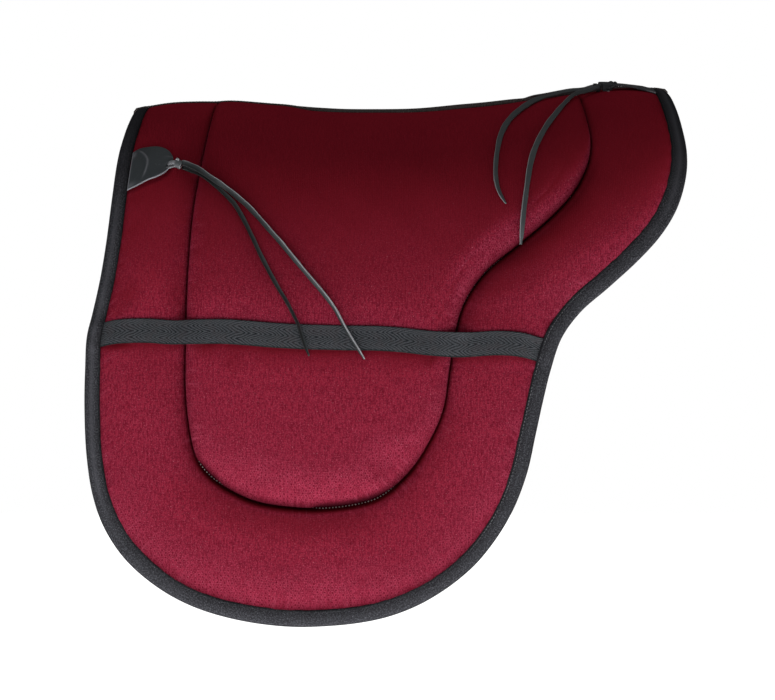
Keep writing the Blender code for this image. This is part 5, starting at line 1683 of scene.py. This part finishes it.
    # the binding thread is painted dark as shade except along part of the rear edge
    bo = stitch_run(label + "_binding_stitching", skin(side, bs_line[:, 0], bs_line[:, 1], 11.25 * MM + lift),
                    skin_normal(side, bs_line[:, 1]), 3.6 * MM, 2.2 * MM, 0.26 * MM, M_THREAD_GREY, 0.05 * MM,
                    thread_lit=0.12 + 0.88 * (np.arange(NST) > NST // 2) * smoothstep(0.27, 0.33, EDGE_P[:, 1]) * (1 - smoothstep(0.52, 0.56, EDGE_P[:, 1])))
    bl_line = edge_line(14.3 * MM)
    bu = stitch_run(label + "_binding_stitching_under", skin(side, bl_line[:, 0], bl_line[:, 1], -1.75 * MM),
                    -skin_normal(side, bl_line[:, 1]), 3.6 * MM, 2.4 * MM, 0.30 * MM, M_THREAD_GREY, 0.12 * MM)
    cu = stitch_run(label + "_channel_stitching_under", line3(side, ring_line(0.0), 1.45 * MM),
                    -skin_normal(side, RING_P[:, 1]), 4.0 * MM, 2.7 * MM, 0.38 * MM, M_THREAD_DARK, 0.35 * MM)

    for ob in (cover, binding, lining, core, insert, rp, rkn, ra, rb, ch, bo, bu, cu):
        bend_with(ob)
    for ob in (strap, fp, fa, fb, fkn):
        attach(ob, body)
    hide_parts(label + "_cover")
    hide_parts(label + "_binding")
    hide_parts(label + "_lining")
    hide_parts(label + "_foam_core")
    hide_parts(label + "_foam_insert")
    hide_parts(label + "_girth_strap")
    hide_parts(label + "_front_patch")
    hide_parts(label + "_rear_patch")
    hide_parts(label + "_front_knot")
    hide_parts(label + "_rear_knot")
    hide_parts(label + "_front_lace_a")
    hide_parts(label + "_front_lace_b")
    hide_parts(label + "_rear_lace_a")
    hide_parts(label + "_rear_lace_b")
    return cover, binding


def foam_layer(name, side, mat, lining_h, lining_q, core):
    """A closed foam layer that fills the room under the cover."""
    first = 3 + RIM_COLS
    if core:
        cols = [1, 2, 4, 7, 11, 15, 19, 23, 27, 31] + [first + j for j in (0, 2, 4, 6, 8, 9, 19, 21, 23, 24)]
    else:
        cols = [first + j for j in (20, 21, 22, 23, 24)]
    st = np.arange(0, NST, 2)
    P, Q = LAY_P[np.ix_(cols, st)], LAY_Q[::2, ::2]
    top, top_q = COV_H[np.ix_(cols, st)] - 2.2 * MM, COV_HQ[::2, ::2] - 2.2 * MM
    if core:
        low, low_q = lining_h[np.ix_(cols, st)] + 2.05 * MM, lining_q[::2, ::2] + 2.05 * MM
        inside = np.array([k >= first + 19 for k in cols])[:, None]
        top = np.where(inside, np.minimum(top, 7.4 * MM), top)
        top_q = np.minimum(top_q, 7.4 * MM)
    else:
        low, low_q = np.full(top.shape, 7.7 * MM), np.full(top_q.shape, 7.7 * MM)
    top, top_q = np.maximum(top, low + 0.3 * MM), np.maximum(top_q, low_q + 0.3 * MM)
    return shell_object(name, side, P, Q, (top, top_q), (low, low_q), mat, s_min=9.0 * MM)


# ------------------------------------------------------------ the spine strip
def ribbon(name, pts, ups, half, thick, mat, m=18):
    """Flat tape along a line of points under its middle, face towards ups."""
    pts = np.asarray(pts, float)
    n = len(pts)
    half, thick = np.broadcast_to(half, n), np.broadcast_to(thick, n)
    tan = np.gradient(pts, axis=0)
    tan /= np.linalg.norm(tan, axis=1, keepdims=True)
    side = np.tile(np.array([0.0, 1.0, 0.0]), (n, 1))
    nn = np.cross(side, tan)
    flip = (nn * ups).sum(1) < 0
    nn[flip] *= -1
    a = np.linspace(0, 2 * pi, m, endpoint=False) + pi / m
    ex = 0.34
    cx = np.sign(np.cos(a)) * np.abs(np.cos(a)) ** ex
    cy = np.sign(np.sin(a)) * np.abs(np.sin(a)) ** ex / 2 + 0.5
    rings = pts[:, None, :] + (cx[None, :] * half[:, None])[..., None] * side[:, None, :] \
        + (cy[None, :] * thick[:, None])[..., None] * nn[:, None, :]
    acc = arc(pts)
    uv = np.stack(np.broadcast_arrays(acc[:, None], cx[None, :] * half[:, None]), axis=-1)
    return loft(name, rings, mat, uv=uv, attrs={"speckle": np.full(n * m, 0.5), "tone": np.full(n * m, 0.5)})


def draped_tape(name, xs, half, thick, trees, ends, mat, m=23):
    """Tape lying over the spine: its underside keeps to the cloth right across its width."""
    n = len(xs)
    c = np.linspace(-1, 1, m)
    near = np.array([[surface_h(trees, -1.0, xs[i], max(abs(c[j]) * half[i], 0.4 * MM)) for j in range(m // 2 + 1)]
                     for i in range(n)])
    raw = np.concatenate([near, near[:, -2::-1]], axis=1)
    hs = np.stack([soft_cover(raw[:, j], xs[1] - xs[0], 1.5 * MM, 2) for j in range(m)], axis=1)
    for _ in range(3):
        pad = np.pad(hs, ((0, 0), (1, 1)), mode='edge')
        hs = np.maximum(hs, (pad[:, :-2] + 2 * hs + pad[:, 2:]) / 4)
    hs = hs + 0.06 * MM
    sunk = np.minimum(hs, np.stack([np.convolve(np.pad(raw[:, j], 4, mode='edge'), np.ones(9) / 9, mode='valid')
                                    for j in range(m)], axis=1)) - 0.7 * MM
    sunk = sunk - 1.5 * MM * (smoothstep(16 * MM, 6 * MM, xs - xs[0]) + smoothstep(16 * MM, 6 * MM, xs[-1] - xs))[:, None]
    Y = c[None, :] * half[:, None]
    low = np.stack([skin(1.0 if c[j] > 0 else -1.0, xs, np.abs(Y[:, j]), hs[:, j]) for j in range(m)], axis=1)
    nrm = np.stack([skin_normal(1.0 if c[j] > 0 else -1.0, np.abs(Y[:, j])) for j in range(m)], axis=1)
    front, rear = ends
    rows, nrows, th, wd = [], [], [], []
    for (dx, dz, nx, nz) in front:
        q = low[0].copy()
        q[:, 0], q[:, 2] = dx, dz + 0 * q[:, 2]
        rows.append(q)
        nrows.append(np.tile([nx, 0, nz], (m, 1)))
    k0 = len(front)
    body = [low[i] for i in range(n)]
    tail = []
    for (dx, dz, nx, nz) in rear:
        q = low[-1].copy()
        q[:, 0], q[:, 2] = dx, dz + 0 * q[:, 2]
        tail.append(q)
    P = np.array(rows + body + tail)
    base = P.copy()
    base[k0:k0 + n] = np.stack([skin(1.0 if c[j] > 0 else -1.0, xs, np.abs(Y[:, j]), sunk[:, j]) for j in range(m)], axis=1)
    N = np.array(nrows + list(nrm) + [np.tile([nx, 0, nz], (m, 1)) for (_, _, nx, nz) in rear])
    N /= np.linalg.norm(N, axis=2, keepdims=True)
    T = np.concatenate([np.full(k0, thick[0]), thick, np.full(len(tail), thick[-1])])[:, None]
    rnd = np.sqrt(np.clip(1 - np.clip((np.abs(c) - 0.90) / 0.10, 0, 1) ** 2 * 0.9, 0.1, 1))[None, :]
    top = P + N * (T * (0.45 + 0.55 * rnd))[..., None]
    v = np.vstack([top.reshape(-1, 3), base.reshape(-1, 3)])
    faces = closed_sheet(v, len(P), m, np.array([0, 0, 1.0]))
    run = np.concatenate([[0], np.cumsum(np.linalg.norm(np.diff(P[:, m // 2], axis=0), axis=1))])
    uv = np.stack(np.broadcast_arrays(run[:, None], (c * half[0])[None, :]), axis=-1).reshape(-1, 2)
    tone = (0.5 - 0.22 * np.exp(-(c / 0.5) ** 2)[None, :] + 0 * run[:, None]).ravel()
    ob = mesh_object(name, v, faces, uv=np.vstack([uv, uv]), attrs={"speckle": np.full(len(v), 0.5), "tone": np.concatenate([tone, tone])}, mat=mat)
    return ob, top[k0:k0 + n]


def fix_normals(ob):
    import bmesh
    bm = bmesh.new()
    bm.from_mesh(ob.data)
    bmesh.ops.recalc_face_normals(bm, faces=bm.faces)
    bm.to_mesh(ob.data)
    bm.free()


def build_spine(trees):
    xf, xr = OUTLINE[0][0] * MM, OUTLINE[-1][0] * MM
    xs = np.linspace(xf + 1.5 * MM, xr - 1.5 * MM, 270)
    zf, zr = float(spine_rise(xf)) + SEAT, float(spine_rise(xr)) + SEAT
    cf, cr = float(crown(xf, 0.0)), float(crown(xr, 0.0))
    # the ends fold down over the binding
    front = [(xf - 0.45 * MM, zf + 4.6 * MM, -1, 0.0), (xf - 0.50 * MM, zf + 7.8 * MM, -1, 0.1),
             (xf - 0.15 * MM, zf + 10.2 * MM + 0.7 * cf, -1, 0.5)]
    rear = [(xr + 0.15 * MM, zr + 10.2 * MM + 0.7 * cr, 1, 0.5), (xr + 0.50 * MM, zr + 7.8 * MM, 1, 0.1),
            (xr + 0.45 * MM, zr + 4.6 * MM, 1, 0.0)]
    half = (9.6 + 4.0 * smoothstep(-0.165, -0.070, xs) - 3.8 * smoothstep(0.190, 0.270, xs)) * MM
    full = smoothstep(0.02, 0.14, xs) * (1 - smoothstep(0.245, 0.275, xs))
    thick = (1.4 + 1.2 * full) * MM
    tape, tape_top = draped_tape("spine_tape_over", xs, half, thick, trees, (front, rear), M_TAPE)
    under = np.stack([xs, np.zeros_like(xs), spine_rise(xs) + SEAT - 0.35 * MM], axis=-1)
    f2 = [(xf - 0.45 * MM, 0, zf + 3.9 * MM), (xf - 0.35 * MM, 0, zf + 1.6 * MM),
          (xf + 0.4 * MM, 0, zf - 0.6 * MM), (xf + 2.0 * MM, 0, zf - 2.0 * MM)]
    r2 = [(xr - 2.0 * MM, 0, zr - 2.0 * MM), (xr - 0.4 * MM, 0, zr - 0.6 * MM),
          (xr + 0.35 * MM, 0, zr + 1.6 * MM), (xr + 0.45 * MM, 0, zr + 3.9 * MM)]
    under[:, 2] -= 2.1 * MM * (smoothstep(xf + 24 * MM, xf + 17 * MM, xs) + smoothstep(xr - 24 * MM, xr - 17 * MM, xs))
    line2 = np.vstack([f2, under, r2])
    acc = arc(line2)
    line2 = at(line2, acc, np.linspace(0, acc[-1], 340))
    ups2 = line2 * 0 + np.array([0, 0, -1.0])
    ups2[:6] = (-1, 0, -0.2)
    ups2[-6:] = (1, 0, -0.2)
    tape2 = ribbon("spine_tape_below", line2, ups2, 9.7 * MM, 1.2 * MM, M_TAPE)
    fix_normals(tape2)
    # foam gusset inside
    gx = np.linspace(xf + 5 * MM, xr - 5 * MM, 60)
    rings = []
    for x in gx:
        z = float(spine_rise(x)) + SEAT
        rings.append([(x, -6.5 * MM, z + 2.3 * MM), (x, -6.5 * MM, z + 8.8 * MM), (x, 0, z + 9.2 * MM),
                      (x, 6.5 * MM, z + 8.8 * MM), (x, 6.5 * MM, z + 2.3 * MM), (x, 0, z + 2.3 * MM)])
    guss = loft("spine_gusset_foam", np.array(rings), M_CORE, uv=np.zeros((60, 6, 2)), smooth=False)
    fix_normals(guss)
    # two rows of stitching on the tape
    obs = [tape, tape2, guss]
    for nm, col in (("spine_tape_stitching_l", 2), ("spine_tape_stitching_r", 20)):
        p = tape_top[3:-3, col] - np.array([0, 0, 0.04 * MM])
        obs.append(stitch_run(nm, p, np.tile([0, 0, 1.0], (len(p), 1)), 3.6 * MM, 2.4 * MM, 0.28 * MM,
                              M_THREAD_DARK, 0.10 * MM))
    for ob in obs:
        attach(ob, "spine")
    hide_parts("spine_tape_top")
    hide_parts("spine_tape_under")
    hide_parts("spine_gusset")


left_cover, left_binding = build_half("left", -1.0)
right_cover, right_binding = build_half("right", 1.0)
build_spine(tree_of(left_cover, left_binding))

# ------------------------------------------------------------ floor and light
FLOOR_Z = -1.15


def floor():
    v = [(-3.2, -3.2, FLOOR_Z), (3.2, -3.2, FLOOR_Z), (3.2, 3.2, FLOOR_Z), (-3.2, 3.2, FLOOR_Z)]
    m = Nodes("pale_floor")
    tone = m.noise(m.obj(), 1.3, 2.0)
    col = m.mix(tone, (0.90, 0.90, 0.90), (0.93, 0.93, 0.93))
    m.finish(col, 1.0, spec=0.0)
    ob = mesh_object("floor", np.array(v), np.array([[0, 1, 2, 3]]), mat=m.mat)


floor()

# dim even room light; the room itself is white to the eye
world = bpy.data.worlds.new("studio")
bpy.context.scene.world = world
world.use_nodes = True
wt = world.node_tree
wt.nodes.clear()
w_out = wt.nodes.new("ShaderNodeOutputWorld")
w_mix = wt.nodes.new("ShaderNodeMixShader")
w_ray = wt.nodes.new("ShaderNodeLightPath")
w_dim = wt.nodes.new("ShaderNodeBackground")
w_lit = wt.nodes.new("ShaderNodeBackground")
w_dim.inputs[1].default_value = 0.12
w_dim.inputs[0].default_value = (1.0, 1.0, 1.0, 1.0)
w_lit.inputs[1].default_value = 1.0
w_lit.inputs[0].default_value = (1.0, 1.0, 1.0, 1.0)
wt.links.new(w_ray.outputs["Is Camera Ray"], w_mix.inputs[0])
wt.links.new(w_dim.outputs[0], w_mix.inputs[1])
wt.links.new(w_lit.outputs[0], w_mix.inputs[2])
wt.links.new(w_mix.outputs[0], w_out.inputs[0])


def area(name, loc, target, size, power, size_y=None):
    d = bpy.data.lights.new(name, 'AREA')
    d.shape = 'RECTANGLE'
    d.size = size
    d.size_y = size_y or size
    d.energy = power
    o = bpy.data.objects.new(name, d)
    o.location = loc
    o.rotation_euler = (Vector(target) - Vector(loc)).to_track_quat('-Z', 'Y').to_euler()
    o.visible_camera = False
    bpy.context.scene.collection.objects.link(o)
    return o


# the floor is lit from below the pad, so that light reaches it only by way of the floor
area("floor_light", (0.0, 0.0, -0.66), (0.0, 0.0, -1.15), 8.0, 275.0)
area("low_card_left", (0.0, -0.95, -1.05), (0.0, -0.80, 0.0), 3.0, 26.0, size_y=1.8)
area("low_card_right", (0.0, 0.95, -1.05), (0.0, 0.80, 0.0), 3.0, 26.0, size_y=1.8)
area("key", (-0.5, -2.7, -0.45), (0.0, -0.1, -0.3), 1.3, 5.0)
area("high_card", (0.0, -0.3, 2.4), (0.0, 0.0, 0.0), 3.0, 5.4)
